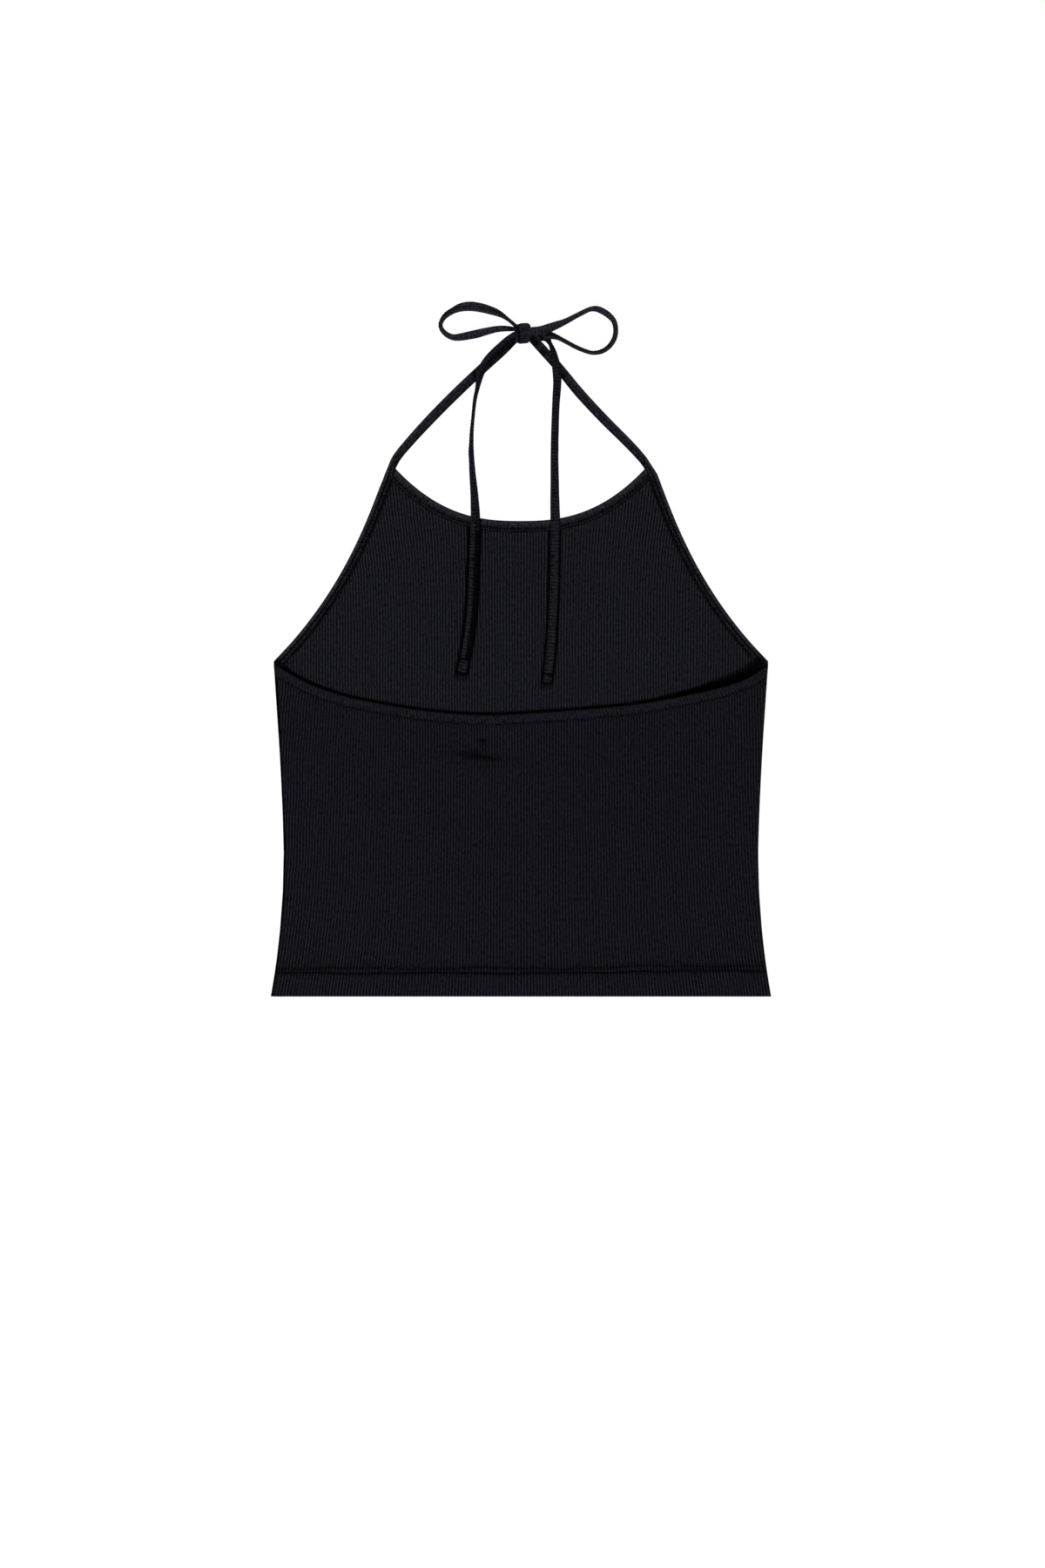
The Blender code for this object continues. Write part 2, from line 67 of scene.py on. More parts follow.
def plain_table():
    surface = bmesh.new()
    bmesh.ops.create_grid(surface, x_segments=1, y_segments=1, size=TABLE_SIZE / 2)
    bmesh.ops.translate(surface, verts=surface.verts, vec=(0, 0, -TABLE_DROP))
    mesh = bpy.data.meshes.new("table")
    surface.to_mesh(mesh)
    surface.free()
    material = bpy.data.materials.new("white_table")
    material.use_nodes = True
    shader = material.node_tree.nodes["Principled BSDF"]
    shader.inputs["Base Color"].default_value = (TABLE_WHITE, TABLE_WHITE, TABLE_WHITE, 1)
    shader.inputs["Roughness"].default_value = 0.9
    shader.inputs["Specular IOR Level"].default_value = 0.1
    shader.inputs["Emission Color"].default_value = (1, 1, 1, 1)
    shader.inputs["Emission Strength"].default_value = TABLE_GLOW
    mesh.materials.append(material)
    table = bpy.data.objects.new("table", mesh)
    scene.collection.objects.link(table)


def softbox():
    lamp = bpy.data.lights.new("softbox", "AREA")
    lamp.shape = "SQUARE"
    lamp.size = SOFTBOX_SIZE
    lamp.energy = SOFTBOX_POWER
    holder = bpy.data.objects.new("softbox", lamp)
    holder.location = SOFTBOX_PLACE
    holder.rotation_euler = (-Vector(SOFTBOX_PLACE)).to_track_quat("-Z", "Y").to_euler()
    holder.visible_camera = False
    scene.collection.objects.link(holder)


def camera_overhead():
    eye = bpy.data.cameras.new("camera")
    eye.lens = LENS
    eye.sensor_width = SENSOR
    eye.clip_end = 100.0
    holder = bpy.data.objects.new("camera", eye)
    holder.location = (*VIEW_CENTRE, CAMERA_HEIGHT)
    scene.collection.objects.link(holder)
    scene.camera = holder


plain_table()
softbox()
camera_overhead()
dome = bpy.data.worlds.new("soft_dome")
dome.use_nodes = True
dome.node_tree.nodes["Background"].inputs["Color"].default_value = (*[DOME_WHITE] * 3, 1)
dome.node_tree.nodes["Background"].inputs["Strength"].default_value = DOME_STRENGTH
scene.world = dome
scene.view_settings.view_transform = "Standard"

# Front panel
# The high panel, cut in one piece of fine rib knit with the ribs running up. It lies inside up,
# its hem turned up inside and held by two rows of needle stitches.
LENGTH = 530.9              # from the hem to the top of the bow
HEM_HALF = 191.5            # half the body's width at the hem, the waist and the bust
WAIST_HALF = 181.6
BUST_HALF = 189.3
WAIST_HEIGHT = 110.0
SIDE_HEIGHT = 255.5         # where the side seams end
HEM_POWER = 2.0             # how sharply the sides turn out to the hem, and to the bust
BUST_POWER = 1.4
NECK_X = -0.5               # the neckline's middle
NECK_LOW = 363.8
NECK_RISE = 39.6            # how much higher it is, NECK_HALF to either side
NECK_HALF = 95.0
NECK_POWER = 2.55
NECK_REACH = 1.06           # how far out its curve runs, as a share of NECK_HALF
TIP_HEIGHT = 398.0          # where the panel ends under the straps' feet
ARMHOLE = ((190.5, 254.6), (127.0, 318.5), (112.8, 382.0), (99.9, 409.2))

CLOTH = 1.0                 # one layer of knit
GAP = 0.3
FRONT_RIBS = 172
RIB_COLUMNS = 5             # columns of points a rib
FAN_HEIGHT = 333.0          # above this the front's ribs lean outwards
FAN_SOFT = 17.0             # over which the lean sets in
FAN = 0.0016                # share of x, for each millimetre up
RELIEF = 0.62               # a rib's crest over the grooves beside it
CREST = 1.42                # height of the ribs' crests
CREST_POWER = 0.7           # under 1, so that crests are wide and grooves are narrow
CREST_ROUND = 0.8           # over which a crest sets in beside a side seam
UNDER = 0.06                # height of the underside's crests
UNDER_RELIEF = 0.4
SIDE_ROUND = 1.0            # radius of the rounded sides, and of the fold at the hem
FOLD_ROUND = 1.2
HEM_DEPTH = 22.0            # how deep the hem is turned up
HEM_STEP = 2.5              # over which its edge thins out
HEM_RISE = ((65.0, 90.0), (0.0, 1.6))  # at these x it is turned up this much deeper
HEM_ROWS = (18.0, 21.7)     # the two rows of stitches
HEM_DRAWN = 0.25            # how far they draw the underside in
BAND_LIP = 1.1              # a binding's fold, outside the panel's raw edge
SEAM_IN = BAND_LIP + GAP + 0.1
COURSE = 0.95               # height of one knitted stitch
STITCH_PITCH = 2.7
STITCH_LENGTH = 1.9
STITCH_SHIFT = 1.4          # of the upper row's dark dots against the lower one's
STITCH_INSET = 3.0          # how far from the side seams the hem's stitches end
STITCH_PROUD = 0.08         # how far they stand off the cloth
THREAD = 0.21               # half a sewing thread's thickness
MERGE = 2e-6
SHARP = math.radians(75)
# the darkest black: the knit's colour in full painted shade, and the thread's darker plies
KNIT_DARK = (0.0004, 0.0004, 0.0008)
FRONT_BLACK = (0.0124, 0.0125, 0.0171)
BACK_BLACK = (0.0089, 0.0087, 0.0123)
THREAD_BLACK = (0.0010, 0.0010, 0.0016)
# Rows of points: at the hem, under the back panel, beside its edge, and from there to the top
FRONT_HEM_HEIGHTS = (
    0, 0.12, 0.4, 0.8, 1.3, 2.2, 6, 12, 17.4, 18, 18.6, 21.1, 21.7, 22.3, 23, 24.8, 30,
)
FRONT_HIDDEN_HEIGHTS = (50, 80, 110, 140, 170, 190)
BELOW_EDGE = 4.0
ABOVE_SHADE = 0.9
FRONT_UPPER_ROWS = 21

# The back's top edge: how high it is at x, and how far it stands off the front there
BACK_EDGE = (
    (-189.3, 255.0, 0.0),
    (-163.5, 240.2, 1.2),
    (-135.5, 230.2, 1.8),
    (-107.5, 224.3, 1.8),
    (-70.0, 218.5, 1.8),
    (-30.0, 215.6, 2.0),
    (14.5, 217.4, 2.2),
    (52.5, 220.2, 2.4),
    (95.0, 224.7, 3.0),
    (122.5, 229.8, 5.0),
    (150.0, 235.8, 7.5),
    (172.0, 243.2, 5.5),
    (189.3, 253.8, 0.0),
)
# How wide the line of shade painted above that edge is, at x
EDGE_SHADE = (
    (-189.3, 6.5), (-183.0, 5.5), (-177.0, 3.2), (-165.0, 2.8), (-150.0, 2.2), (-130.0, 1.8),
    (-100.0, 1.4), (60.0, 1.4), (95.0, 2.0), (108.0, 2.8), (121.0, 3.6), (134.0, 5.3),
    (144.0, 7.0), (154.0, 8.2), (164.0, 9.0), (174.0, 11.0), (189.3, 12.0),
)
SHADED_ROWS = (0.3, 0.6, 1.0)  # rows of points in that line, as shares of its width
# The shade painted beside the tails: its half width, then x and height down its middle
TAIL_SHADES = (
    (6.0, (-35.6, 362), (-36.0, 342), (-36.7, 320), (-37.5, 302), (-40.8, 271), (-45.7, 246)),
    (5.4, (26.2, 362), (25.8, 338), (24.9, 301), (23.9, 280), (22.5, 262), (19.8, 239)),
)
TAIL_SHADE_FADE = 0.7


def along(points):
    """How far each point is from the first, measured along the points."""
    points = np.asarray(points, float)
    return np.concatenate([[0.0], np.cumsum(np.linalg.norm(np.diff(points, axis=0), axis=1))])


def cubic(corners, steps=60):
    """Points on the cubic curve that these four corners pull."""
    a, b, c, d = np.asarray(corners, float)
    t = np.linspace(0, 1, steps + 1)[:, None]
    return (1 - t) ** 3 * a + 3 * (1 - t) ** 2 * t * b + 3 * (1 - t) * t * t * c + t**3 * d


def moved_left(points, distance):
    """A flat curve moved to its own left by a distance."""
    run = np.gradient(points, axis=0)
    run /= np.linalg.norm(run, axis=1)[:, None]
    return points + distance * np.stack([-run[:, 1], run[:, 0]], axis=1)


def half_width(height):
    """Half the body's width: flared at the hem, drawn in at the waist, wide at the bust."""
    height = np.asarray(height, float)
    flare = np.clip(1 - height / WAIST_HEIGHT, 0, 1) ** HEM_POWER
    rise = np.clip((height - WAIST_HEIGHT) / (SIDE_HEIGHT - WAIST_HEIGHT), 0, 1) ** BUST_POWER
    return WAIST_HALF + (HEM_HALF - WAIST_HALF) * flare + (BUST_HALF - WAIST_HALF) * rise


def neckline(steps=60):
    """The neckline's upper edge, from the left strap to the right one."""
    share = np.linspace(-NECK_REACH, NECK_REACH, steps + 1)
    height = NECK_LOW + NECK_RISE * np.abs(share) ** NECK_POWER
    return np.stack([NECK_X + share * NECK_HALF, height], axis=1)


ARMHOLE_SEAM = moved_left(cubic(ARMHOLE), SEAM_IN)[::-1]
NECK_SEAM = moved_left(neckline(), -SEAM_IN)


def front_top(x):
    """How high the front panel reaches at x, inside its bindings."""
    armhole = np.interp(np.abs(x), ARMHOLE_SEAM[:, 0], ARMHOLE_SEAM[:, 1])
    neck = np.interp(x, NECK_SEAM[:, 0], NECK_SEAM[:, 1], left=LENGTH, right=LENGTH)
    return np.minimum(np.minimum(armhole, neck), TIP_HEIGHT)


def front_lean(height):
    """The share of x by which the ribs lean outwards near the straps."""
    return FAN * FAN_SOFT * np.log1p(np.exp((height - FAN_HEIGHT) / FAN_SOFT))


def front_rib_line(share, height):
    """Where a rib of the front runs: upright, so that the outer ones end in the side seams."""
    return share * np.maximum(half_width(height), BUST_HALF) * (1 + front_lean(height))


def waver(share, height, phase):
    """How far a rib wanders sideways, as knit that was laid down by hand does."""
    slow = 0.20 * np.sin(height / 13 + 5 * share + 2 * np.sin(height / 37 + phase))
    quick = 0.10 * np.sin(height / 7.3 - 11 * share + phase)
    return slow + quick


def crest_of(rib):
    """0 in the groove between two ribs, 1 on a rib's crest."""
    return np.abs(np.sin(math.pi * rib)) ** CREST_POWER


def rounding(distance, radius):
    """0 at a rounded edge, 1 from the radius inwards."""
    left = 1 - np.clip(distance / radius, 0, 1)
    return np.sqrt(1 - left * left)


def bell(distance, width):
    return np.exp(-((distance / width) ** 2))


def needle_dots(distance):
    """1 where the needle went through, every stitch's length along a row."""
    return np.maximum(0.0, np.cos(2 * math.pi * distance / STITCH_PITCH)) ** 2


def hem_rise(x):
    """How much deeper the hem is turned up at x. Only its right end is."""
    return np.interp(x, *HEM_RISE)


def stitch_row(x, row):
    """The height of a row of hem stitches, which isn't quite straight."""
    return row + hem_rise(x) + 0.3 * np.sin(x / 17 + row) + 0.15 * np.sin(x / 6.3)


def hem_rows_groove_and_shade(x, height):
    """How far the hem's stitches draw the cloth in, from 0 to 1, which is also how much shade is
    painted along them.
    """
    lower, upper = (bell(height - stitch_row(x, row), 1.0) for row in HEM_ROWS)
    upper_dots = needle_dots(x + STITCH_SHIFT)
    return lower * (0.80 + 0.20 * needle_dots(x)) + upper * (0.50 + 0.40 * upper_dots)


def knit_finish(name, light, groove, streak, grain):
    """Matt black cotton rib: V-shaped stitches up each rib, painted shade in the grooves and a
    little fuzz.

    groove is how light a groove stays under its painted shade, streak how uneven the ribs are along
    their length, and grain how uneven the yarn looks.
    """
    material = bpy.data.materials.new(name)
    material.use_nodes = True
    tree = material.node_tree
    shader = tree.nodes["Principled BSDF"]

    def node(kind, **settings):
        made = tree.nodes.new(kind)
        for key, value in settings.items():
            setattr(made, key, value)
        return made

    def maths(operation, first, second=None, third=None):
        made = node("ShaderNodeMath", operation=operation)
        for socket, value in zip(made.inputs, (first, second, third)):
            if isinstance(value, (int, float)):
                socket.default_value = value
            elif value is not None:
                tree.links.new(value, socket)
        return made.outputs[0]

    def noise(scale, detail, vector):
        made = node("ShaderNodeTexNoise")
        made.inputs["Scale"].default_value = scale
        made.inputs["Detail"].default_value = detail
        tree.links.new(vector, made.inputs["Vector"])
        return made.outputs[0]

    ribs = node("ShaderNodeUVMap", uv_map="ribs").outputs[0]
    parts = node("ShaderNodeSeparateXYZ")
    tree.links.new(ribs, parts.inputs[0])
    rib, course = parts.outputs[0], parts.outputs[1]
    crest = maths("POWER", maths("ABSOLUTE", maths("SINE", maths("MULTIPLY", rib, math.pi))), 1.8)
    side = maths("ABSOLUTE", maths("SUBTRACT", maths("FRACT", rib), 0.5))
    turn = maths("MULTIPLY_ADD", side, 0.9, course)
    stitch = maths("MULTIPLY_ADD", maths("SINE", maths("MULTIPLY", turn, 2 * math.pi)), 0.5, 0.5)
    stretch = node("ShaderNodeMapping")
    stretch.inputs["Scale"].default_value = (1.3, 0.3, 1)
    tree.links.new(ribs, stretch.inputs["Vector"])
    streaks = noise(1.0, 2, stretch.outputs[0])
    fuzz = noise(1300, 3, node("ShaderNodeTexCoord").outputs["Object"])
    groove_and_painted_shade = node("ShaderNodeAttribute", attribute_name="groove_and_painted_shade").outputs["Fac"]

    # painted shade between the ribs: darker in the grooves, lighter on the crests
    bright = maths("MULTIPLY_ADD", crest, 1 - groove, groove)
    bright = maths("MULTIPLY", bright, maths("MULTIPLY_ADD", streaks, streak, 1 - streak / 2))
    bright = maths("MULTIPLY", bright, maths("MULTIPLY_ADD", fuzz, grain, 1 - grain / 2))
    bright = maths("MULTIPLY", bright, maths("MULTIPLY_ADD", stitch, 0.3, 0.85))
    # the shade painted on the points darkens the colour
    bright = maths("MULTIPLY", bright, maths("MULTIPLY_ADD", groove_and_painted_shade, -0.95, 1.0))
    colour = node("ShaderNodeMix", data_type="RGBA")
    tints = [socket for socket in colour.inputs if socket.type == "RGBA"]
    for socket, tint in zip(tints, (KNIT_DARK, light)):
        socket.default_value = (*tint, 1)
    tree.links.new(bright, colour.inputs[0])
    result = [socket for socket in colour.outputs if socket.type == "RGBA"][0]
    tree.links.new(result, shader.inputs["Base Color"])

    height = maths("MULTIPLY_ADD", stitch, 0.6, maths("MULTIPLY", fuzz, 0.5))
    bump = node("ShaderNodeBump")
    bump.inputs["Strength"].default_value = 0.5
    bump.inputs["Distance"].default_value = 0.00022
    tree.links.new(height, bump.inputs["Height"])
    tree.links.new(bump.outputs[0], shader.inputs["Normal"])
    shader.inputs["Roughness"].default_value = 0.85
    shader.inputs["Specular IOR Level"].default_value = 0.0
    return material


def add_piece(name, builder, material):
    """Turns a finished bmesh into a piece of the top that lies where the whole top lies."""
    mesh = bpy.data.meshes.new(name)
    builder.to_mesh(mesh)
    builder.free()
    mesh.shade_smooth()
    mesh.set_sharp_from_angle(angle=SHARP)
    mesh.materials.append(material)
    piece = bpy.data.objects.new(name, mesh)
    scene.collection.objects.link(piece)
    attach(piece, "root")
    return piece


def to_metres(x, height, z):
    return np.stack(np.broadcast_arrays(x, height - LENGTH / 2, z), axis=-1) / 1000


def knitted(name, columns, rows, shape, material, cuts=()):
    """A closed knitted piece from one grid, bent round so that its first and last columns meet.

    shape(i, k) gives each point's x, height and z, how much shade is painted on it, from 0 to 1,
    and its rib and course. A cut is a point and an outward direction of a flat, upright end.
    """
    knit = bmesh.new()
    ribs = knit.loops.layers.uv.new("ribs")
    painted_shade_layer = knit.verts.layers.float.new("groove_and_painted_shade")
    bmesh.ops.create_grid(knit, x_segments=columns, y_segments=rows, size=1)
    knit.verts.index_update()
    flat = np.array([corner.co[:2] for corner in knit.verts])
    flat = (flat - flat.min(axis=0)) / (flat.max(axis=0) - flat.min(axis=0))
    i, k = np.rint(flat * (columns, rows)).T
    x, height, z, groove_and_painted_shade, rib, course = np.broadcast_arrays(*shape(i, k))
    for corner, place, shade_strength in zip(knit.verts, to_metres(x, height, z).tolist(), groove_and_painted_shade.tolist()):
        corner.co = place
        corner[painted_shade_layer] = shade_strength
    rib, course = rib.tolist(), course.tolist()
    for face in knit.faces:
        for loop in face.loops:
            loop[ribs].uv = (rib[loop.vert.index], course[loop.vert.index])
    bmesh.ops.remove_doubles(knit, verts=knit.verts, dist=MERGE)
    for point, outwards in cuts:
        everything = [*knit.verts, *knit.edges, *knit.faces]
        place = to_metres(*point, 0.0)
        bmesh.ops.bisect_plane(
            knit, geom=everything, plane_co=place, plane_no=(*outwards, 0), clear_outer=True
        )
    rims = [edge for edge in knit.edges if edge.is_boundary]
    bmesh.ops.holes_fill(knit, edges=rims, sides=0)
    bmesh.ops.recalc_face_normals(knit, faces=knit.faces)
    return add_piece(name, knit, material)


def stitches(name, places, runs):
    """Sewing stitches: short, round-ended bits of thread in the cloth."""
    sewing = bmesh.new()
    size = Matrix.Diagonal((THREAD / 1000, THREAD / 1000, STITCH_LENGTH / 2000, 1))
    for place, run in zip(places, runs):
        turn = Vector(run).to_track_quat("Z", "Y").to_matrix().to_4x4()
        spot = Matrix.Translation(to_metres(*place).tolist()) @ turn @ size
        bmesh.ops.create_uvsphere(sewing, u_segments=6, v_segments=5, radius=1, matrix=spot)
    add_piece(name, sewing, sewing_thread)


def thread_finish(name):
    """Black polyester sewing thread, a little shinier than the knit."""
    material = bpy.data.materials.new(name)
    material.use_nodes = True
    tree = material.node_tree
    shader = tree.nodes["Principled BSDF"]
    shader.inputs["Roughness"].default_value = 0.6
    shader.inputs["Specular IOR Level"].default_value = 0.005
    place = tree.nodes.new("ShaderNodeTexCoord")
    plies = tree.nodes.new("ShaderNodeTexNoise")
    plies.inputs["Scale"].default_value = 2500
    tree.links.new(place.outputs["Object"], plies.inputs["Vector"])
    ramp = tree.nodes.new("ShaderNodeValToRGB")
    ramp.color_ramp.elements[0].color = (*KNIT_DARK, 1)
    ramp.color_ramp.elements[1].color = (*THREAD_BLACK, 1)
    tree.links.new(plies.outputs[0], ramp.inputs[0])
    tree.links.new(ramp.outputs[0], shader.inputs["Base Color"])
    return material


def smooth_curve(rows, spacing):
    """Rows at even steps on a smooth curve through these, which hold x, height, then others."""
    rows = np.asarray(rows, float)
    at = along(rows[:, :2])
    slopes = np.gradient(rows, at, axis=0)
    steps = max(2, round(at[-1] / spacing))
    distance = np.linspace(0, at[-1], steps + 1)
    k = np.minimum(np.searchsorted(at, distance, side="right") - 1, len(at) - 2)
    span = (at[k + 1] - at[k])[:, None]
    t = (distance - at[k])[:, None] / span
    start = (1 + 2 * t) * (1 - t) ** 2 * rows[k] + t * (1 - t) ** 2 * span * slopes[k]
    return start + t * t * (3 - 2 * t) * rows[k + 1] + t * t * (t - 1) * span * slopes[k + 1]


def shade_width(x):
    """How wide the line of shade painted above the back's edge is at x."""
    return np.interp(x, *np.transpose(EDGE_SHADE))


def front_shade(x, height):
    """How much shade is painted on the front's inside beside the back's edge and the tails, from 0
    to 1.
    """
    edge = np.interp(x, BACK_CURVE[:, 0], BACK_CURVE[:, 1])
    wide = shade_width(x)
    shade = np.clip((wide - (height - edge)) / (0.7 + 0.2 * wide) + 0.5, 0, 1)
    for half, *path in TAIL_SHADES:
        tail_x, tail_height = np.transpose(path)
        middle = np.interp(height, tail_height[::-1], tail_x[::-1])
        beyond = np.maximum(0.0, np.maximum(tail_height[-1] - height, height - tail_height[0]))
        away = np.hypot(x - middle, 2.0 * beyond)
        shade = np.maximum(shade, np.clip((half - away) / TAIL_SHADE_FADE, 0, 1))
    return shade


front_knit = knit_finish("front_rib_knit", FRONT_BLACK, groove=0.10, streak=2.4, grain=1.8)
sewing_thread = thread_finish("sewing_thread")

BACK_CURVE = smooth_curve(BACK_EDGE, 2 * BUST_HALF / 80)
front_columns = FRONT_RIBS * RIB_COLUMNS
front_shares = np.linspace(-1, 1, front_columns + 1)
front_tops = np.full(front_columns + 1, SIDE_HEIGHT)
for _ in range(25):         # a rib leans as it rises, so its end is found step by step
    rib_ends = front_rib_line(front_shares, front_tops)
    front_tops = 0.5 * (front_tops + front_top(rib_ends))
edge_heights = np.interp(front_shares * BUST_HALF, BACK_CURVE[:, 0], BACK_CURVE[:, 1])
edge_widths = shade_width(front_shares * BUST_HALF)
low_heights = FRONT_HEM_HEIGHTS + FRONT_HIDDEN_HEIGHTS
front_rows = [np.full(front_columns + 1, height) for height in low_heights]
front_rows += [edge_heights - BELOW_EDGE, edge_heights]
front_rows += [edge_heights + part * edge_widths for part in SHADED_ROWS]
front_rows.append(edge_heights + edge_widths + ABOVE_SHADE)
front_rows = [np.minimum(row, front_tops) for row in front_rows]
front_rows += list(np.linspace(front_rows[-1], front_tops, FRONT_UPPER_ROWS + 1)[1:])
front_rows = np.array(front_rows)


def panel_side(i, columns):
    """Which column a point of a wrapped grid is on, and whether it is on the upper face."""
    return np.where(i <= columns, i, 2 * columns - i).astype(int), i <= columns


def front_surface(share, height, upper):
    """A point on the front panel: x, z, painted shade and rib."""
    rib = (share + 1) / 2 * FRONT_RIBS
    half = half_width(height) * (1 + front_lean(height))
    x = front_rib_line(share, height) + waver(share, height, phase=0.4) * (1 - share**8)
    inwards = np.maximum(0.0, half - np.abs(x))
    x = np.clip(x, -half, half)
    crest = crest_of(rib) * rounding(inwards, CREST_ROUND)
    layers = 1 + np.clip((HEM_DEPTH + HEM_STEP - height) / HEM_STEP, 0, 1)
    groove_and_painted_shade = hem_rows_groove_and_shade(x, height)
    z_upper = CREST - CLOTH + layers * CLOTH - RELIEF * (1 - crest)
    z_lower = UNDER + UNDER_RELIEF * (1 - crest) + HEM_DRAWN * groove_and_painted_shade
    middle = (z_upper + z_lower) / 2
    edge = rounding(inwards, SIDE_ROUND) * rounding(height, FOLD_ROUND)
    z = middle + np.where(upper, z_upper - middle, z_lower - middle) * edge
    return x, z, np.where(upper, front_shade(x, height), np.clip(groove_and_painted_shade, 0, 1)), rib


def front_shape(i, k):
    column, upper = panel_side(i, front_columns)
    height = front_rows[k.astype(int), column]
    x, z, groove_and_painted_shade, rib = front_surface(front_shares[column], height, upper)
    z = np.where(k == len(front_rows) - 1, CREST / 2, z)
    return x, height, z, groove_and_painted_shade, rib, height / COURSE


front_panel = knitted(
    "front_panel_knit", 2 * front_columns, len(front_rows) - 1, front_shape, front_knit
)
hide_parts("front_panel")


def hem_stitches(name, surface, upper):
    """The hem's two rows of stitches on a panel's outer face."""
    places, runs = [], []
    for row in HEM_ROWS:
        half = half_width(row)
        share = np.arange(-half, half, STITCH_PITCH) / half
        x = surface(share, row, upper)[0]
        inside = np.abs(x) < half - STITCH_INSET
        share, x = share[inside], x[inside]
        height = stitch_row(x, row)
        z = surface(share, height, upper)[1] + (STITCH_PROUD if upper else -STITCH_PROUD)
        places.extend(zip(x, height, z))
        runs.extend([(1, 0, 0)] * len(x))
    stitches(name, places, runs)


hem_stitches("front_hem_stitches", front_surface, False)

# Back panel
# The short panel, in the same knit, lies on the front panel. Its top edge runs straight across
# and stands a little off the front at the right, where the cloth has been pushed up.
LIFT_DEPTH = 70.0           # how far below its edge it lies down again
HEM_SETTLE = 12.0           # over which it lies down behind the hem
BACK_RIBS = 176             # those at the sides run out into the seams
BACK_PITCH = 2.195
PITCH_FLARE = 0.22          # how much wider the pitch is at the hem
FLARE_HEIGHT = 85.0
SKEW = 3.5                  # how far the ribs at the upper left lean to the right
SKEW_FROM = (-90.0, 170.0)  # where that sets in, and over how far
SKEW_OVER = (60.0, 70.0)
BACK_BASE = 1.65            # height of the underside
BACK_CREST = 1.5            # a crest over the panel's underside
BACK_UNDER = 0.05
BACK_UNDER_RELIEF = 0.3
BACK_SIDE_ROUND = 1.6
SIDE_SETTLE = 2.4           # over which it lies down on the front at the side seams
SIDE_LIFT = 0.2             # how far above its base it may lie there
TOP_LIFT = 0.7              # how far above its base its edge lies in the binding
SEAM_LEFT = 1.5             # how far inside the front's left edge the back's lies
BACK_CUT = 1.1              # how far inside its right edge the back's binding ends
TACK = (-29.0, 195.8)       # a stitch that was sewn through and left a small dent, painted darker
TACK_SIZE = (3.3, 1.6)
# A shallow crease across the back, with shade painted in it
CREASE = ((-55.5, 187.6), (-10.0, 180.0))
CREASE_SIZE = (19.0, 3.0)
HEM_RISE_ROWS = ((10, 15, 27, 37), (0, 1, 1, 0))  # which rows of points rise with the hem
BACK_HEM_HEIGHTS = (
    0, 0.12, 0.4, 0.8, 1.3, 2.2, 5, 10, 15, 17.0, 17.6, 18.0, 18.4, 19.0, 20.7, 21.3, 21.7, 22.1,
    22.7, 23.6, 24.8, 27, 31, 37,
)
BACK_MIDDLE_HEIGHTS = (
    47, 60, 73, 86, 99, 112, 125, 138, 151, 164, 175, 178.6, 180.2, 181.4, 182.6, 184, 186, 190,
    194.4, 195.5, 196.2, 196.9, 198, 200,
)
BACK_UPPER_ROWS = 7
BACK_SEAM = moved_left(BACK_CURVE[:, :2], -SEAM_IN)


def back_base(x, height):
    """The height of the back panel's underside above the surface."""
    behind_hem = (height - HEM_DEPTH - HEM_STEP) / HEM_SETTLE
    edge = np.interp(x, BACK_CURVE[:, 0], BACK_CURVE[:, 1])
    lift = np.interp(x, BACK_CURVE[:, 0], BACK_CURVE[:, 2])
    off = np.clip(1 - (edge - height) / LIFT_DEPTH, 0, 1)
    return BACK_BASE + CLOTH * np.clip(1 - behind_hem, 0, 1) + lift * off * off


def back_surface(share, height, upper):
    """A point on the back panel: x, z, painted shade and rib."""
    rib = (share + 1) / 2 * BACK_RIBS
    half = half_width(height)
    pitch = BACK_PITCH + PITCH_FLARE * np.exp(-height / FLARE_HEIGHT)
    x = share * BACK_RIBS / 2 * pitch + waver(share, height, phase=2.1)
    above = np.maximum(0.0, height - SKEW_FROM[1]) / SKEW_OVER[1]
    x = x + SKEW * above**2 * np.clip((SKEW_FROM[0] - x) / SKEW_OVER[0], 0, 1)
    inwards = np.maximum(0.0, np.minimum(x + half - SEAM_LEFT, half - x))
    x = np.clip(x, SEAM_LEFT - half, half)
    crest = crest_of(rib) * rounding(inwards, CREST_ROUND)
    base = back_base(x, height)
    layers = np.clip((HEM_DEPTH + HEM_STEP + hem_rise(x) - height) / HEM_STEP, 0, 1)
    (left, left_height), (right, right_height) = CREASE
    crease_line = left_height + (right_height - left_height) / (right - left) * (x - left)
    crease = bell(x - (left + right) / 2, CREASE_SIZE[0])
    crease = crease * bell(height - crease_line, CREASE_SIZE[1])
    tack = bell(x - TACK[0], TACK_SIZE[0]) * bell(height - TACK[1], TACK_SIZE[1])
    sewn = hem_rows_groove_and_shade(x, height)
    groove_and_painted_shade = sewn + 0.85 * crease + 1.2 * tack             # how much shade is painted in them
    drawn = 0.35 * sewn + 0.3 * crease + 0.5 * tack     # and how deep
    z_upper = base + BACK_CREST + layers * CLOTH - RELIEF * (1 - crest) - drawn
    z_lower = base + BACK_UNDER + BACK_UNDER_RELIEF * (1 - crest)
    middle = (z_upper + z_lower) / 2
    edge = rounding(inwards, BACK_SIDE_ROUND) * rounding(height, FOLD_ROUND)
    z = middle + np.where(upper, z_upper - middle, z_lower - middle) * edge
    settled = rounding(inwards, SIDE_SETTLE)
    z = z * settled + (1 - settled) * np.minimum(z, BACK_BASE + SIDE_LIFT)
    return x, z, np.clip(groove_and_painted_shade, 0, 1) * upper, rib


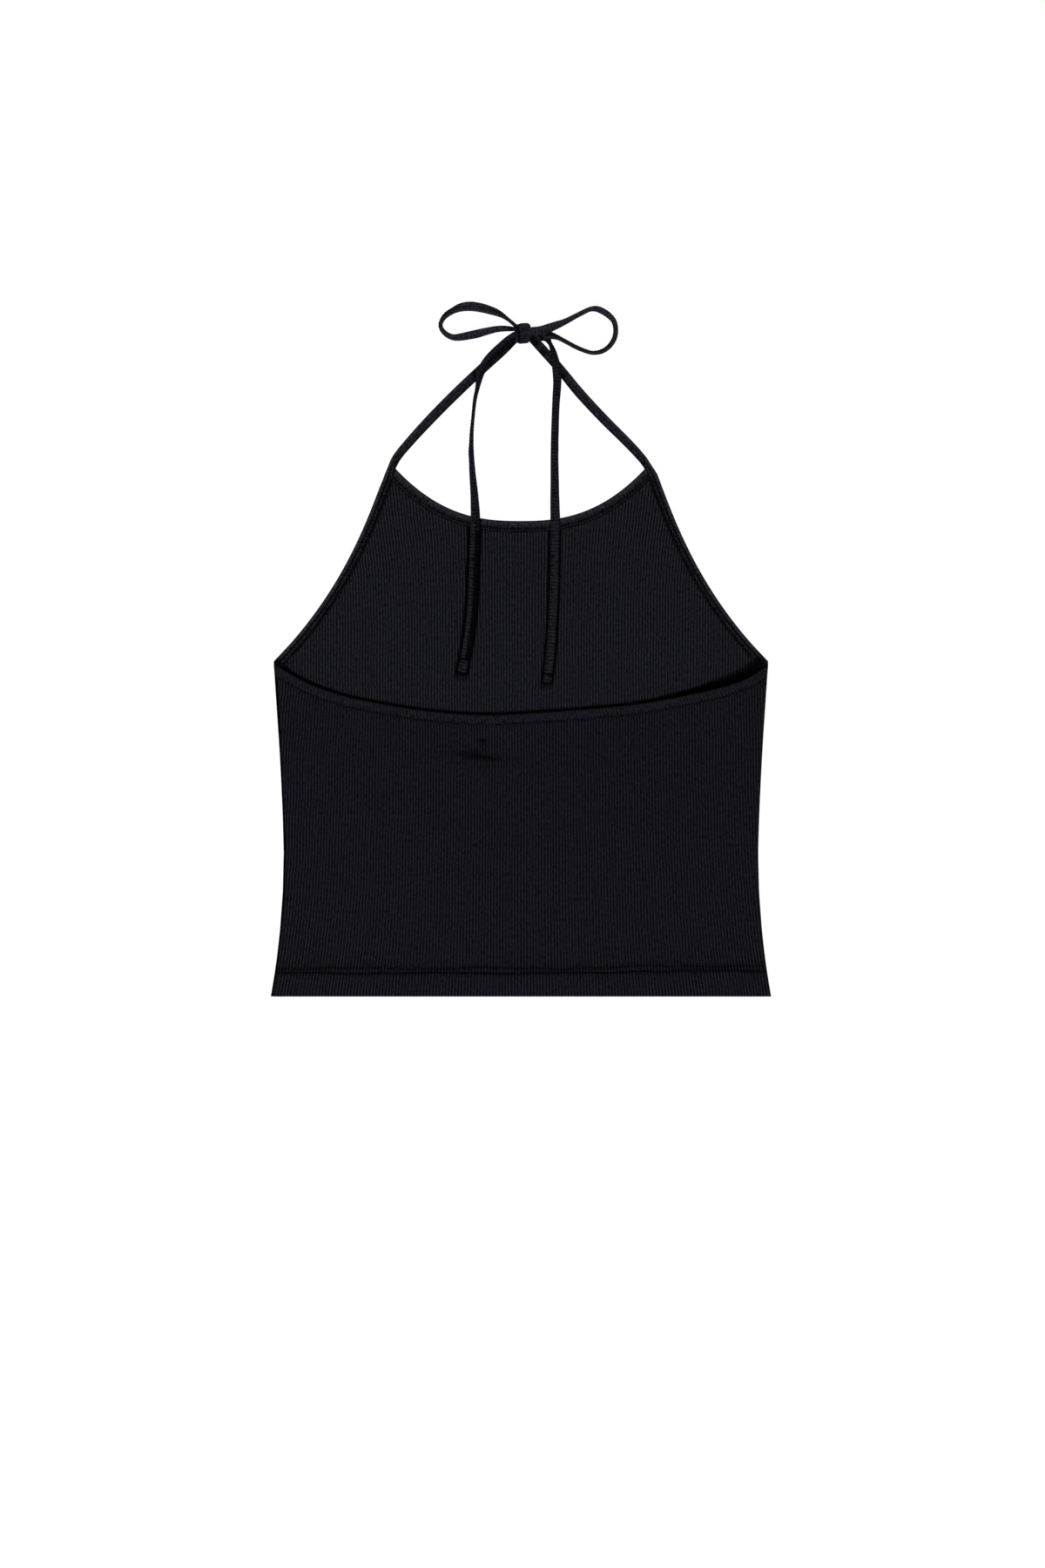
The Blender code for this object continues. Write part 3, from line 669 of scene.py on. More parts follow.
back_columns = BACK_RIBS * RIB_COLUMNS
back_shares = np.linspace(-1, 1, back_columns + 1)
back_tops = np.full(back_columns + 1, SIDE_HEIGHT)
for _ in range(8):
    rib_ends = back_surface(back_shares, back_tops, True)[0]
    back_tops = np.interp(rib_ends, BACK_SEAM[:, 0], BACK_SEAM[:, 1])
low_heights = BACK_HEM_HEIGHTS + BACK_MIDDLE_HEIGHTS
low_rows = [np.full(back_columns + 1, height) for height in low_heights]
back_rows = np.vstack([low_rows, np.linspace(low_rows[-1], back_tops, BACK_UPPER_ROWS + 1)[1:]])
back_rows += hem_rise(back_shares * HEM_HALF) * np.interp(back_rows, *HEM_RISE_ROWS)


def back_shape(i, k):
    column, upper = panel_side(i, back_columns)
    height = back_rows[k.astype(int), column]
    x, z, groove_and_painted_shade, rib = back_surface(back_shares[column], height, upper)
    z = np.where(k == len(back_rows) - 1, back_base(x, height) + TOP_LIFT, z)
    return x, height, z, groove_and_painted_shade, rib, height / COURSE


back_knit = knit_finish("back_rib_knit", BACK_BLACK, groove=0.15, streak=2.4, grain=1.8)
back_panel = knitted(
    "back_panel_knit", 2 * back_columns, len(back_rows) - 1, back_shape, back_knit
)
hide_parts("back_panel")
hem_stitches("back_hem_stitches", back_surface, True)

# Neckline binding
# A strip of the same knit, cut across so that its ribs run over the edge, folded double over
# the front panel's raw neckline and held by one row of stitches near its inner edge.
BAND_WIDTH = 7.5
NECK_WIDTH = 8.7            # with a strip below the stitches that is painted dark as shade where it meets the panel
LAP_HEIGHT = 1.65           # how high a strip lies where it laps the panel
LAP_STEP = 0.4              # over which it comes down to the fold outside
BAND_THICKNESS = 2.65
PATH_STEP = 2.0             # spacing of the points that a binding follows
BAND_STATION = 0.52         # spacing of the rings along a strip
UNDER_POINTS = 8            # points of a ring under the strip
BAND_RIB = 2.6              # pitch of the ribs that cross a strip
BAND_RELIEF = 0.24
BAND_PUFF = 0.10            # how unevenly a strip is filled
GROOVE_WIDTH = 0.55         # of the groove along a row of stitches
BAND_STITCH_PROUD = 0.05
BAND_BLACK = (0.0174, 0.0170, 0.0216)
NECK_CUTS = (
    # at the straps' feet: a point and the outward direction of each end
    ((-95.8, 404.5), (-0.98, 0.21)),
    ((95.2, 404.5), (0.95, 0.31)),
)
NECK_PROFILE = (
    # across, from the inner edge to the fold; share of the thickness; how much shade is painted
    # there
    (-1.0, 0.14, 1.0), (-0.93, 0.18, 1.0), (-0.86, 0.20, 1.0), (-0.80, 0.28, 0.75),
    (-0.73, 0.40, 0.45), (-0.65, 0.44, 0.65), (-0.55, 0.46, 0.88), (-0.42, 0.52, 0.90),
    (-0.27, 0.62, 0.78), (-0.10, 0.74, 0.66), (0.06, 0.84, 0.55), (0.20, 0.95, 0.40),
    (0.35, 1.03, 0.25), (0.50, 1.06, 0.10), (0.65, 1.06, 0.0), (0.80, 0.98, 0.0),
    (0.93, 0.78, 0.15), (1.0, 0.48, 0.35),
)
NECK_STITCH_LINE = -0.88
NECK_UNSEWN = (6.0, 8.0)    # how far from either end its stitches stop


def unit(vectors):
    return vectors / np.linalg.norm(vectors, axis=-1)[..., None]


def painted_hollow_shade(place, spots):
    """How much shade is painted near these spots, from 0 to 1. Each holds x, height, radius and
    how dark it is, and is at its full darkness within half the radius."""
    dark = np.zeros(len(place))
    for x, height, radius, shade_strength in spots:
        away = np.hypot(place[:, 0] - x, place[:, 1] - height)
        dark = np.maximum(dark, shade_strength * np.clip(1.5 - away / radius, 0, 1))
    return dark


def strip_surface(
    stations, outer, profile, stitch_line,
    slant=0.0, stitch_depth=0.3, spots=(), shaded=((0,), (1,)),
):
    """A folded strip's surface, as a function of the place across it, the distance along it and
    the face, with the shade painted on it. Stations hold x, height, z, tilt, width, thickness and
    lap;
    shaded holds heights, and how much of the profile's painted shade there is at each."""
    centres = stations[:, :3]
    at = along(centres)
    runs = unit(np.gradient(centres, axis=0))
    lefts = unit(np.stack([-runs[:, 1], runs[:, 0], np.zeros(len(runs))], axis=1))
    rises = np.cross(runs, lefts)
    turns = np.radians(stations[:, 3])[:, None]
    across = (lefts * np.cos(turns) + rises * np.sin(turns)) * outer
    up = rises * np.cos(turns) - lefts * np.sin(turns)
    columns = np.hstack([centres, across, up, stations[:, 4:7]])
    shape_q, shape_b, shape_dark = np.transpose(profile)

    def surface(q, distance, upper):
        found = [np.interp(distance, at, column) for column in columns.T]
        centre, side, rise = (np.stack(found[n : n + 3], axis=-1) for n in (0, 3, 6))
        width, thickness, lap = found[9:]
        a = q * width / 2
        rib = (distance + slant * a) / BAND_RIB
        crest = crest_of(rib)
        puff = BAND_PUFF * np.sin(distance / 3.1 + 1.3 * np.sin(distance / 7.7))
        flank = np.interp(q, shape_q, shape_b)
        groove_and_painted_shade = bell(a - stitch_line * width / 2, GROOVE_WIDTH)
        dots = 0.4 + 0.6 * needle_dots(distance)
        fade = 1 - np.abs(q) ** 12
        drawn = BAND_RELIEF * (crest - 0.5) + puff - stitch_depth * groove_and_painted_shade * dots
        base = lap * LAP_HEIGHT * np.clip((width / 2 - BAND_LIP - a) / LAP_STEP, 0, 1)
        top = base + (thickness - base) * flank + drawn * fade
        edge = base + (thickness - base) * np.where(q > 0, shape_b[-1], shape_b[0])
        under = base + (0.5 * BAND_RELIEF * (1 - crest)) * (1 - lap)
        under = under + (edge - under) * np.abs(q) ** 6
        b = np.where(upper, top, under) - thickness / 2
        place = centre + side * a[..., None] + rise * b[..., None]
        # painted shade: in the stitched groove, across the profile, on the under face's rims and
        # near the hollows
        dark = np.maximum(groove_and_painted_shade * dots, np.interp(q, shape_q, shape_dark))
        dark = dark * np.interp(place[:, 1], *shaded)
        dark = np.clip(np.maximum(dark, painted_hollow_shade(place, spots)), 0, 1)
        return place, dark * np.where(upper, 1, np.abs(q) ** 6), rib, a / COURSE

    return surface, at[-1]


def knitted_strip(name, surface, length, profile, material, cuts=()):
    """A strip's knit, on a grid that runs round its ring with i and along it with k."""
    over = np.array([row[0] for row in profile])
    below = np.cos(math.pi * np.arange(UNDER_POINTS + 1) / UNDER_POINTS)
    ring = np.concatenate([over, below[1:]])
    rows = round(length / BAND_STATION)

    def shape(i, k):
        place, *rest = surface(ring[i.astype(int)], k / rows * length, i < len(over))
        return *place.T, *rest

    return knitted(name, len(ring) - 1, rows, shape, material, cuts)


def strip_stitches(name, surface, length, line, unsewn):
    """Stitches along a strip, on its upper face, but for these lengths at its ends."""
    distance = np.arange(unsewn[0], length - unsewn[1], STITCH_PITCH) + STITCH_PITCH / 2
    line = np.full_like(distance, line)
    behind, places, ahead = (surface(line, distance + step, True)[0] for step in (-1, 0, 1))
    places = places + (0, 0, BAND_STITCH_PROUD)
    stitches(name, places, ahead - behind)


def band_stations(path, width, z, tilt=0.0):
    """Stations of a binding along the middle of its path, with its underside's height as z."""
    others = (z + BAND_THICKNESS / 2, tilt, width, BAND_THICKNESS, 1.0)
    return np.column_stack([path, *(np.broadcast_to(value, len(path)) for value in others)])


binding_knit = knit_finish("binding_rib_knit", BAND_BLACK, groove=0.6, streak=3.4, grain=3.6)
neck_path = smooth_curve(moved_left(neckline(56), -NECK_WIDTH / 2), PATH_STEP)
neck_surface, neck_length = strip_surface(
    band_stations(neck_path, NECK_WIDTH, 0.0), 1, NECK_PROFILE, NECK_STITCH_LINE
)
neck_binding = knitted_strip(
    "neck_binding_knit", neck_surface, neck_length, NECK_PROFILE, binding_knit, NECK_CUTS
)
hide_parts("neck_binding")
strip_stitches("neck_stitches", neck_surface, neck_length, NECK_STITCH_LINE, NECK_UNSEWN)

# Back binding
# The same folded strip over the back panel's top edge. Its stitches run along its lower edge.
BACK_BAND_WIDTH = 8.6
BACK_BAND_BLACK = (0.0087, 0.0083, 0.0119)
BACK_PROFILE = (
    # across, from the inner edge to the fold; share of the thickness; how much shade is painted
    # there
    (-1.0, 0.10, 0.9), (-0.94, 0.25, 0.6), (-0.88, 0.36, 0.3), (-0.80, 0.25, 0.5),
    (-0.72, 0.15, 0.65), (-0.64, 0.30, 0.5), (-0.54, 0.55, 0.35), (-0.40, 0.75, 0.2),
    (-0.2, 0.85, 0.1), (0.0, 0.93, 0.1), (0.2, 0.98, 0.05), (0.4, 1.02, 0.0), (0.6, 1.02, 0.0),
    (0.8, 0.95, 0.05), (0.93, 0.78, 0.3), (1.0, 0.48, 0.6),
)
BACK_STITCH_LINE = -0.72
BACK_UNSEWN = (9.0, 9.0)

back_band_knit = knit_finish(
    "back_binding_rib_knit", BACK_BAND_BLACK, groove=0.45, streak=3.0, grain=2.6
)
back_path = smooth_curve(moved_left(BACK_CURVE[:, :2], -BACK_BAND_WIDTH / 2), PATH_STEP)
back_path = back_path[np.abs(back_path[:, 0]) < BUST_HALF + 1]
band_outer = back_base(*moved_left(back_path, BACK_BAND_WIDTH / 2).T)
band_inner = back_base(*moved_left(back_path, -BACK_BAND_WIDTH / 2).T)
back_tilt = np.degrees(np.arctan2(band_outer - band_inner, BACK_BAND_WIDTH))
back_z = (band_outer + band_inner) / 2 + GAP / 2
back_stations = band_stations(back_path, BACK_BAND_WIDTH, back_z, back_tilt)
back_strip, back_length = strip_surface(
    back_stations, 1, BACK_PROFILE, BACK_STITCH_LINE, slant=0.25
)
back_binding = knitted_strip(
    "back_binding_knit",
    back_strip,
    back_length,
    BACK_PROFILE,
    back_band_knit,
    (
        ((-BUST_HALF + SEAM_LEFT, SIDE_HEIGHT), (-1, 0)),
        ((BUST_HALF - BACK_CUT, SIDE_HEIGHT), (1, 0)),
    ),
)
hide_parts("back_binding")
strip_stitches("back_stitches", back_strip, back_length, BACK_STITCH_LINE, BACK_UNSEWN)

# Armhole bindings and neck ties
# Each armhole's binding is one long folded strip. Past the strap's foot it runs on as a narrow
# tie of the same strip, stitched shut, up to the knot behind the neck.
TIE_THICKNESS = 1.8
STRAP_POINT_TURN = 0.93     # share of the armhole's curve where the strap's own table takes over
TIE_CLEARANCE = -1.6        # the armhole's binding ends under the back's
SIDE_CUT = 189.1            # where both are cut off at the side
KNOT_REACH = 1.6            # how far a tie goes on into the knot
STRAP_LEFT = (
    # x, height, z, width
    (-98.8, 404.5, 1.33, 5.6),
    (-96.6, 409.6, 0.95, 6.0),
    (-92.4, 415.9, 0.95, 6.2),
    (-86.8, 422.5, 0.95, 6.4),
    (-68.5, 442.5, 0.95, 7.0),
    (-48.6, 462.5, 0.95, 7.2),
    (-28.7, 481.2, 0.95, 7.2),
    (-13.5, 495.0, 0.95, 7.2),
    (-5.1, 503.4, 0.95, 6.8),
)
STRAP_RIGHT = (
    (97.5, 404.5, 1.33, 5.6),
    (94.4, 409.4, 0.95, 5.8),
    (89.2, 415.6, 0.95, 6.2),
    (82.8, 422.4, 0.95, 6.4),
    (62.7, 442.5, 0.95, 6.8),
    (44.2, 462.5, 0.95, 7.0),
    (28.2, 482.0, 0.95, 6.6),
    (15.2, 496.5, 0.95, 6.6),
    (7.5, 505.2, 0.95, 6.6),
)
ARM_PROFILE = (
    # across, from the inner edge to the fold; share of the thickness; how much shade is painted
    # there
    (-1.0, 0.10, 1.0), (-0.92, 0.30, 0.9), (-0.86, 0.36, 0.75), (-0.78, 0.25, 0.95),
    (-0.67, 0.18, 1.0), (-0.56, 0.30, 0.98), (-0.46, 0.52, 0.80), (-0.34, 0.64, 0.60),
    (-0.18, 0.70, 0.55), (-0.04, 0.64, 0.75), (0.07, 0.54, 1.0), (0.16, 0.50, 1.0),
    (0.25, 0.62, 0.90), (0.36, 0.88, 0.4), (0.50, 1.04, 0.1), (0.66, 1.06, 0.0),
    (0.82, 0.97, 0.0), (0.93, 0.78, 0.15), (1.0, 0.48, 0.45),
)
ARM_STITCH_LINE = -0.67
ARM_UNSEWN = (26.0, 12.0)
ARM_EXTRA = 0.5             # a strip below the stitches painted dark as shade where it meets the panel, and the knit's loft
# Shade painted where the bow and the tails keep the light off the straps, and in the corners: x,
# height, radius and how dark
STRAP_HOLLOWS = (
    (-33.5, 475.0, 4.0, 0.95), (-17.0, 492.0, 4.5, 0.75), (-9.0, 498.0, 4.0, 0.95),
    (31.5, 474.5, 3.0, 0.95), (24.5, 484.0, 3.0, 0.7), (17.0, 493.0, 4.0, 0.8),
    (11.0, 500.0, 4.0, 0.9), (181.5, 254.3, 7.6, 1.0), (-186.5, 255.0, 4.6, 1.0),
)
STRAP_SHADED = ((396, 418), (1, 0.55))  # heights, and how much of the profile's painted shade is there


def armhole_tie(name, side, strap):
    """An armhole's binding, from its corner beside the back's up to the knot."""
    armhole = moved_left(cubic(ARMHOLE), BAND_WIDTH / 2)
    rows = [
        (side * x, height, BAND_THICKNESS / 2, 0, BAND_WIDTH, BAND_THICKNESS, 1)
        for x, height in armhole[: round(STRAP_POINT_TURN * len(armhole)) : 6]
    ]
    for k, (x, height, z, width) in enumerate(strap):
        thickness, lap = (TIE_THICKNESS, 0) if k else (BAND_THICKNESS, 1)
        rows.append((x, height, z, 0, width, thickness, lap))
    rows = np.array(rows, float)
    path = smooth_curve(rows[:, :2], PATH_STEP)
    at = along(rows[:, :2])
    reached = np.linspace(0, at[-1], len(path))
    others = [np.interp(reached, at, column) for column in rows.T[2:]]
    stations = np.column_stack([path, *others])
    onwards = stations[-1].copy()
    onwards[:2] += unit(path[-1] - path[-2]) * 3 * KNOT_REACH
    stations = np.vstack([stations, onwards])
    stations[:, 4] += ARM_EXTRA
    surface, length = strip_surface(
        stations, -side, ARM_PROFILE, ARM_STITCH_LINE,
        slant=0.35, spots=STRAP_HOLLOWS, shaded=STRAP_SHADED,
    )
    corner, inwards = (BACK_EDGE[:2], BACK_EDGE[-1:-3:-1])[side > 0]
    down = side * unit(np.array((corner[1] - inwards[1], inwards[0] - corner[0])))
    cuts = (
        ((corner[0], SIDE_HEIGHT + TIE_CLEARANCE), down),
        ((side * SIDE_CUT, SIDE_HEIGHT), (side, 0)),
        ((strap[-1][0] - side * KNOT_REACH, 0), (-side, 0)),
    )
    piece = knitted_strip(name + "_knit", surface, length, ARM_PROFILE, binding_knit, cuts)
    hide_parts(name)
    strip_stitches(name + "_stitches", surface, length, ARM_STITCH_LINE, ARM_UNSEWN)


armhole_tie("armhole_tie_left", -1, STRAP_LEFT)
armhole_tie("armhole_tie_right", 1, STRAP_RIGHT)

# Bow
# The two ties are knotted once and their doubled ends are drawn through as two soft loops, which
# stand partly on their edges. The knot is one turn of the tie round them.
TIE_WIDTH = 6.8
TIE_PUFF = 0.8              # the knit's loft, past the solid's width and thickness
TIE_PROFILE = (
    # across; share of the thickness; how much shade is painted there
    (-1.0, 0.45, 0.6), (-0.95, 0.65, 0.4), (-0.85, 0.85, 0.25), (-0.7, 0.91, 0.2),
    (-0.5, 0.94, 0.2), (-0.3, 0.93, 0.2), (-0.17, 0.89, 0.3), (-0.07, 0.87, 0.35),
    (0.04, 0.91, 0.25), (0.2, 0.99, 0.1), (0.4, 1.03, 0.0), (0.6, 1.06, 0.0), (0.78, 0.98, 0.0),
    (0.9, 0.85, 0.1), (0.96, 0.68, 0.2), (1.0, 0.45, 0.4),
)
TIE_STITCH_LINE = -0.1
TIE_STITCH_DEPTH = 0.12
KNOT_X = 1.2
KNOT_HEIGHT = 506.9
KNOT_HALF = (6.0, 7.7, 4.3)
KNOT_COLUMNS = 96
KNOT_ROWS = 28
KNOT_LIT = 510.6            # above this its top catches the light
# Shade painted in the knot's hollow and where the loops go into it: x, height, radius and how dark
KNOT_HOLLOWS = ((-3.4, 510.0, 2.3, 1.0),)
LOOP_HOLLOWS = (
    (-7.0, 511.5, 3.5, 0.95), (-13.0, 512.6, 2.2, 0.8), (-20.0, 512.9, 2.2, 0.7),
    (9.0, 502.5, 3.5, 0.95), (15.5, 503.4, 2.6, 0.9), (20.5, 506.6, 2.4, 0.8),
)
# heights, and how much of the profile's painted shade is there
LOOP_SHADED = ((512, 519), (1, 0.3))
LOOP_LEFT = (
    # x, height, z, tilt
    (-5.1, 513.4, 4.3, 86),
    (-8.8, 516.8, 4.2, 80),
    (-13.5, 520.2, 4.1, 66),
    (-18.8, 522.9, 3.7, 44),
    (-25.5, 525.3, 3.4, 26),
    (-32.1, 527.0, 3.3, 14),
    (-38.8, 527.8, 3.2, 10),
    (-45.5, 527.0, 3.5, 26),
    (-51.8, 524.4, 3.7, 50),
    (-57.3, 520.8, 3.8, 60),
    (-60.2, 517.3, 3.9, 70),
    (-61.6, 513.5, 3.9, 76),
    (-60.5, 509.9, 3.9, 76),
    (-57.7, 506.8, 3.9, 72),
    (-52.1, 504.1, 3.8, 66),
    (-45.5, 504.4, 3.7, 52),
    (-38.8, 505.6, 3.6, 42),
    (-32.1, 507.1, 3.6, 42),
    (-25.5, 508.8, 3.7, 53),
    (-18.8, 510.3, 3.9, 64),
    (-12.1, 510.7, 4.1, 71),
    (-8.1, 510.5, 4.2, 78),
    (-5.1, 510.2, 4.3, 86),
)
LOOP_RIGHT = (
    (7.5, 507.6, 7.4, 0),
    (15.9, 508.6, 7.3, 8),
    (24.5, 512.0, 6.2, 40),
    (34.5, 516.3, 4.6, 68),
    (41.2, 519.8, 4.1, 74),
    (47.9, 523.3, 4.0, 78),
    (52.5, 525.3, 4.0, 78),
    (57.9, 525.8, 3.9, 68),
    (62.7, 523.9, 3.9, 64),
    (67.2, 520.8, 3.9, 66),
    (70.6, 517.1, 3.9, 70),
    (72.5, 509.2, 3.9, 72),
    (71.4, 502.9, 3.9, 70),
    (67.1, 496.7, 3.9, 68),
    (61.9, 493.2, 3.9, 70),
    (54.5, 492.2, 3.9, 72),
    (47.9, 494.0, 3.9, 73),
    (41.2, 496.9, 3.9, 73),
    (34.5, 500.5, 4.0, 72),
    (27.9, 503.9, 4.3, 64),
    (22.5, 505.3, 5.2, 40),
    (15.9, 505.7, 5.2, 10),
    (7.5, 505.4, 5.2, 0),
)


def tie_stations(table, into_knot_at_end):
    """Stations of a tie through its table, carried on a little way into the knot."""
    rows = smooth_curve(table, 1.5)
    first = rows[0].copy()
    first[:2] += unit(rows[0, :2] - rows[1, :2]) * KNOT_REACH
    rows = np.vstack([first, rows])
    if into_knot_at_end:
        last = rows[-1].copy()
        last[:2] += unit(rows[-1, :2] - rows[-2, :2]) * KNOT_REACH
        rows = np.vstack([rows, last])
    sizes = np.tile((TIE_WIDTH + TIE_PUFF, TIE_THICKNESS + TIE_PUFF, 0.0), (len(rows), 1))
    return np.hstack([rows, sizes])


def tie_piece(name, surface, length, profile, material, stations):
    """A loop or a tail: a length of tie that lies free outside the knot."""
    piece = knitted_strip(name + "_knit", surface, length, profile, material)
    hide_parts(name)
    to_metres(*stations[0, :3]).tolist()
    to_metres(*stations[:, :3].T).tolist()


def bow_loop(name, table):
    stations = tie_stations(table, True)
    surface, length = strip_surface(
        stations, 1, TIE_PROFILE, TIE_STITCH_LINE,
        stitch_depth=TIE_STITCH_DEPTH, spots=LOOP_HOLLOWS, shaded=LOOP_SHADED,
    )
    tie_piece(name, surface, length, TIE_PROFILE, binding_knit, stations)


def knot_shape(i, k):
    """A turn of the tie: round the X axis with i, along it with k."""
    turn = 2 * math.pi * i / KNOT_COLUMNS
    share = 2 * k / KNOT_ROWS - 1
    end = np.sqrt(np.clip(1 - np.abs(share) ** 5, 0, 1))
    size = 0.55 + 0.45 * end
    across = np.sign(np.cos(turn)) * np.abs(np.cos(turn)) ** 0.8
    up = np.sign(np.sin(turn)) * np.abs(np.sin(turn)) ** 0.8
    crease = bell(share + 0.55 + 0.1 * np.sin(2 * turn), 0.13)
    rib = turn * 10.5 / BAND_RIB + 0.6 * share
    swell = 1 + 0.035 * (crest_of(rib) - 0.5) - 0.12 * crease + 0.03 * np.sin(3 * turn + 2 * share)
    x = KNOT_X + share * KNOT_HALF[0] + 0.5 * np.sin(turn + 0.6)
    height = KNOT_HEIGHT + size * swell * across * KNOT_HALF[1]
    z = KNOT_HALF[2] * (1 + size * swell * up)
    lit = np.clip((height - KNOT_LIT) / 1.5, 0, 1)
    hollow_shade = painted_hollow_shade(np.column_stack([x, height]), KNOT_HOLLOWS)
    # painted shade: dark below the top, which is painted as lit, and darker in the crease and the
    # hollow
    groove_and_painted_shade = np.maximum(0.52 * (1 - lit) + 0.48 * crease, hollow_shade)
    return x, height, z, np.clip(groove_and_painted_shade, 0, 1), rib, share * KNOT_HALF[0] / COURSE


bow_loop("bow_loop_left", LOOP_LEFT)
bow_loop("bow_loop_right", LOOP_RIGHT)
bow_knot = knitted(
    "bow_knot_knit", KNOT_COLUMNS, KNOT_ROWS, knot_shape, binding_knit
)
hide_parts("bow_knot")

# Tails
# The ties' free ends hang down through the neck opening and lie on the front panel's inside.
# Each end is turned over once and stitched across.
TIP_WIDTH = 8.3
TIP_THICKNESS = 2.6
TIP_DRAWN = (1.6, 0.5)      # how much narrower and thinner the tail is at the stitches
TIP_CORNER = 3.0            # over which its end is rounded
NO_STITCH_LINE = 2.0        # off the strip, so that none shows
TAIL_BLACK = (0.0108, 0.0109, 0.0146)
# heights, and how much of the profile's painted shade is there
TAIL_SHADED = ((352, 380, 474, 488), (1, 0.25, 0.25, 0.8))
TAIL_LEFT_PROFILE = (
    # across; share of the thickness; how much shade is painted there, which covers the right half
    (-1.0, 0.40, 1.0), (-0.94, 0.62, 0.7), (-0.84, 0.92, 0.1), (-0.7, 1.02, 0.0),
    (-0.5, 1.05, 0.0), (-0.3, 1.0, 0.15), (-0.12, 0.92, 0.3), (0.0, 0.84, 0.6),
    (0.1, 0.78, 0.95), (0.2, 0.80, 1.0), (0.35, 0.86, 0.92), (0.55, 0.86, 0.9),
    (0.75, 0.82, 0.95), (0.88, 0.72, 1.0), (0.95, 0.58, 1.0), (1.0, 0.40, 1.0),
)
TAIL_RIGHT_PROFILE = (
    # across; share of the thickness; how much shade is painted there, at the edges
    (-1.0, 0.40, 1.0), (-0.94, 0.62, 0.8), (-0.84, 0.92, 0.4), (-0.7, 1.0, 0.35),
    (-0.5, 1.02, 0.3), (-0.3, 1.04, 0.2), (-0.12, 1.04, 0.1), (0.0, 1.04, 0.05),
    (0.1, 1.04, 0.0), (0.2, 1.04, 0.0), (0.35, 1.04, 0.0), (0.55, 1.02, 0.05),
    (0.75, 0.96, 0.2), (0.88, 0.80, 0.6), (0.95, 0.60, 0.9), (1.0, 0.40, 1.0),
)
TAIL_LEFT = (
    (-5.1, 504.2, 3.2, 0),
    (-9.5, 501.2, 3.2, 0),
    (-14.8, 496.6, 3.2, 0),
    (-20.3, 491.6, 3.2, 0),
    (-24.8, 486.6, 3.4, 3),
    (-28.0, 482.2, 3.9, 12),
    (-30.5, 477.9, 5.0, 30),
    (-31.8, 471.9, 5.0, 58),
    (-33.2, 465.2, 4.4, 76),
    (-35.1, 455.9, 4.0, 86),
    (-36.5, 443.9, 3.9, 88),
    (-37.6, 429.2, 3.9, 82),
    (-37.9, 415.9, 3.9, 70),
    (-37.1, 402.5, 3.8, 62),
    (-36.0, 389.2, 4.0, 50),
    (-35.2, 375.9, 4.8, 32),
    (-34.9, 365.5, 4.9, 14),
    (-35.0, 354.0, 4.1, 4),
    (-35.5, 342.0, 2.8, 0),
    (-36.1, 322.5, 2.7, 0),
    (-36.9, 302.5, 2.7, 0),
    (-38.4, 285.9, 2.7, 0),
    (-40.2, 272.5, 2.7, 0),
    (-42.3, 261.2, 2.7, 0),
    (-45.5, 247.0, 3.1, 0),
)
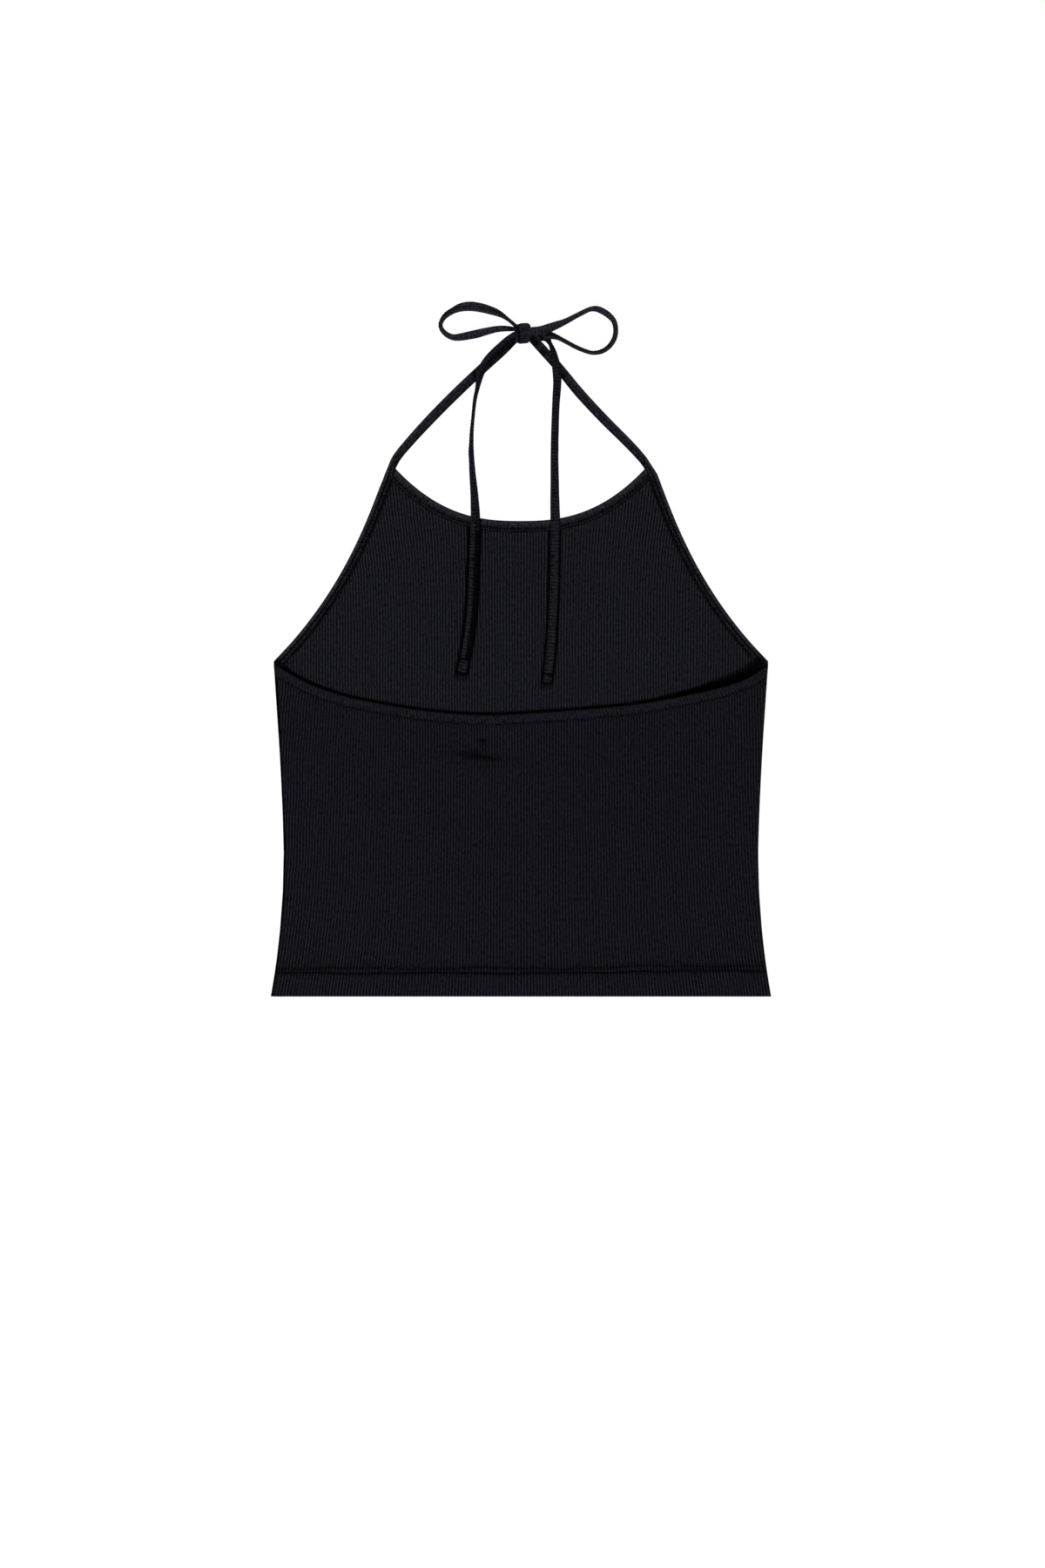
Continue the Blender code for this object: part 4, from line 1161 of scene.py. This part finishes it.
TAIL_RIGHT = (
    (7.5, 505.4, 3.1, 0),
    (12.0, 506.2, 3.0, 0),
    (15.8, 505.3, 2.9, -11),
    (19.2, 503.3, 3.0, -30),
    (21.2, 500.4, 4.6, -72),
    (22.9, 497.6, 5.6, -78),
    (24.1, 494.4, 5.6, -66),
    (25.4, 489.2, 5.2, -46),
    (26.9, 482.5, 4.8, -30),
    (27.8, 471.9, 4.6, -34),
    (26.9, 455.9, 3.9, -44),
    (26.1, 435.9, 3.6, -45),
    (25.7, 415.9, 3.5, -42),
    (25.9, 389.2, 4.1, -32),
    (26.1, 374.0, 5.0, -18),
    (26.3, 362.5, 4.7, -8),
    (26.0, 351.0, 3.9, -2),
    (25.8, 338.0, 2.8, 0),
    (25.4, 315.0, 2.7, 0),
    (24.8, 300.0, 2.7, 0),
    (23.8, 280.5, 2.7, 0),
    (22.5, 262.5, 2.7, 0),
    (19.9, 239.4, 3.1, 0),
)


def tie_tail(name, table, profile, flat_width, tip_length):
    """A tail of this width where it lies on the panel, and with a turned-over end this long."""
    stations = tie_stations(table, False)
    left = along(stations[:, :3])[-1] - along(stations[:, :3])
    turned = np.clip((tip_length - left) / 1.2 + 0.5, 0, 1)
    on_panel = np.clip((NECK_LOW - stations[:, 1]) / 20, 0, 1)
    stations[:, 4] += on_panel * (flat_width - stations[:, 4])
    stations[:, 4] += turned * (TIP_WIDTH - flat_width)
    stations[:, 5] += turned * (TIP_THICKNESS - TIE_THICKNESS)
    stations[:, 4] -= TIP_DRAWN[0] * bell(left - tip_length, 1.6)
    stations[:, 5] -= TIP_DRAWN[1] * bell(left - tip_length, 1.0)
    rounded = 1 - np.clip(1 - left / TIP_CORNER, 0, 1) ** 2
    stations[:, 4] *= 0.6 + 0.4 * rounded
    strip_only, length = strip_surface(stations, 1, profile, NO_STITCH_LINE, shaded=TAIL_SHADED)

    def surface(q, distance, upper):
        """The strip with its turned-over end, a plain patch behind a line of stitches."""
        place, groove_and_painted_shade, rib, course = strip_only(q, distance, upper)
        inwards = np.minimum((1 - np.abs(q)) * TIP_WIDTH / 2, length - distance)
        # the patch's rim is painted dark as shade, and so is the stitched line across the tail
        outline = np.clip(1.6 - inwards / 0.9, 0, 1)
        patch = np.clip((tip_length - (length - distance)) / 0.6 + 0.5, 0, 1)
        dark = np.maximum(outline, 0.15) * patch + groove_and_painted_shade * (1 - patch)
        dark = np.maximum(dark, bell(length - distance - tip_length, 1.1))
        return place, dark * upper, rib, course

    tie_piece(name, surface, length, profile, tail_knit, stations)


tail_knit = knit_finish("tail_rib_knit", TAIL_BLACK, groove=0.4, streak=3.2, grain=3.2)
tie_tail("tie_tail_left", TAIL_LEFT, TAIL_LEFT_PROFILE, flat_width=8.0, tip_length=11.0)
tie_tail("tie_tail_right", TAIL_RIGHT, TAIL_RIGHT_PROFILE, flat_width=7.4, tip_length=7.0)
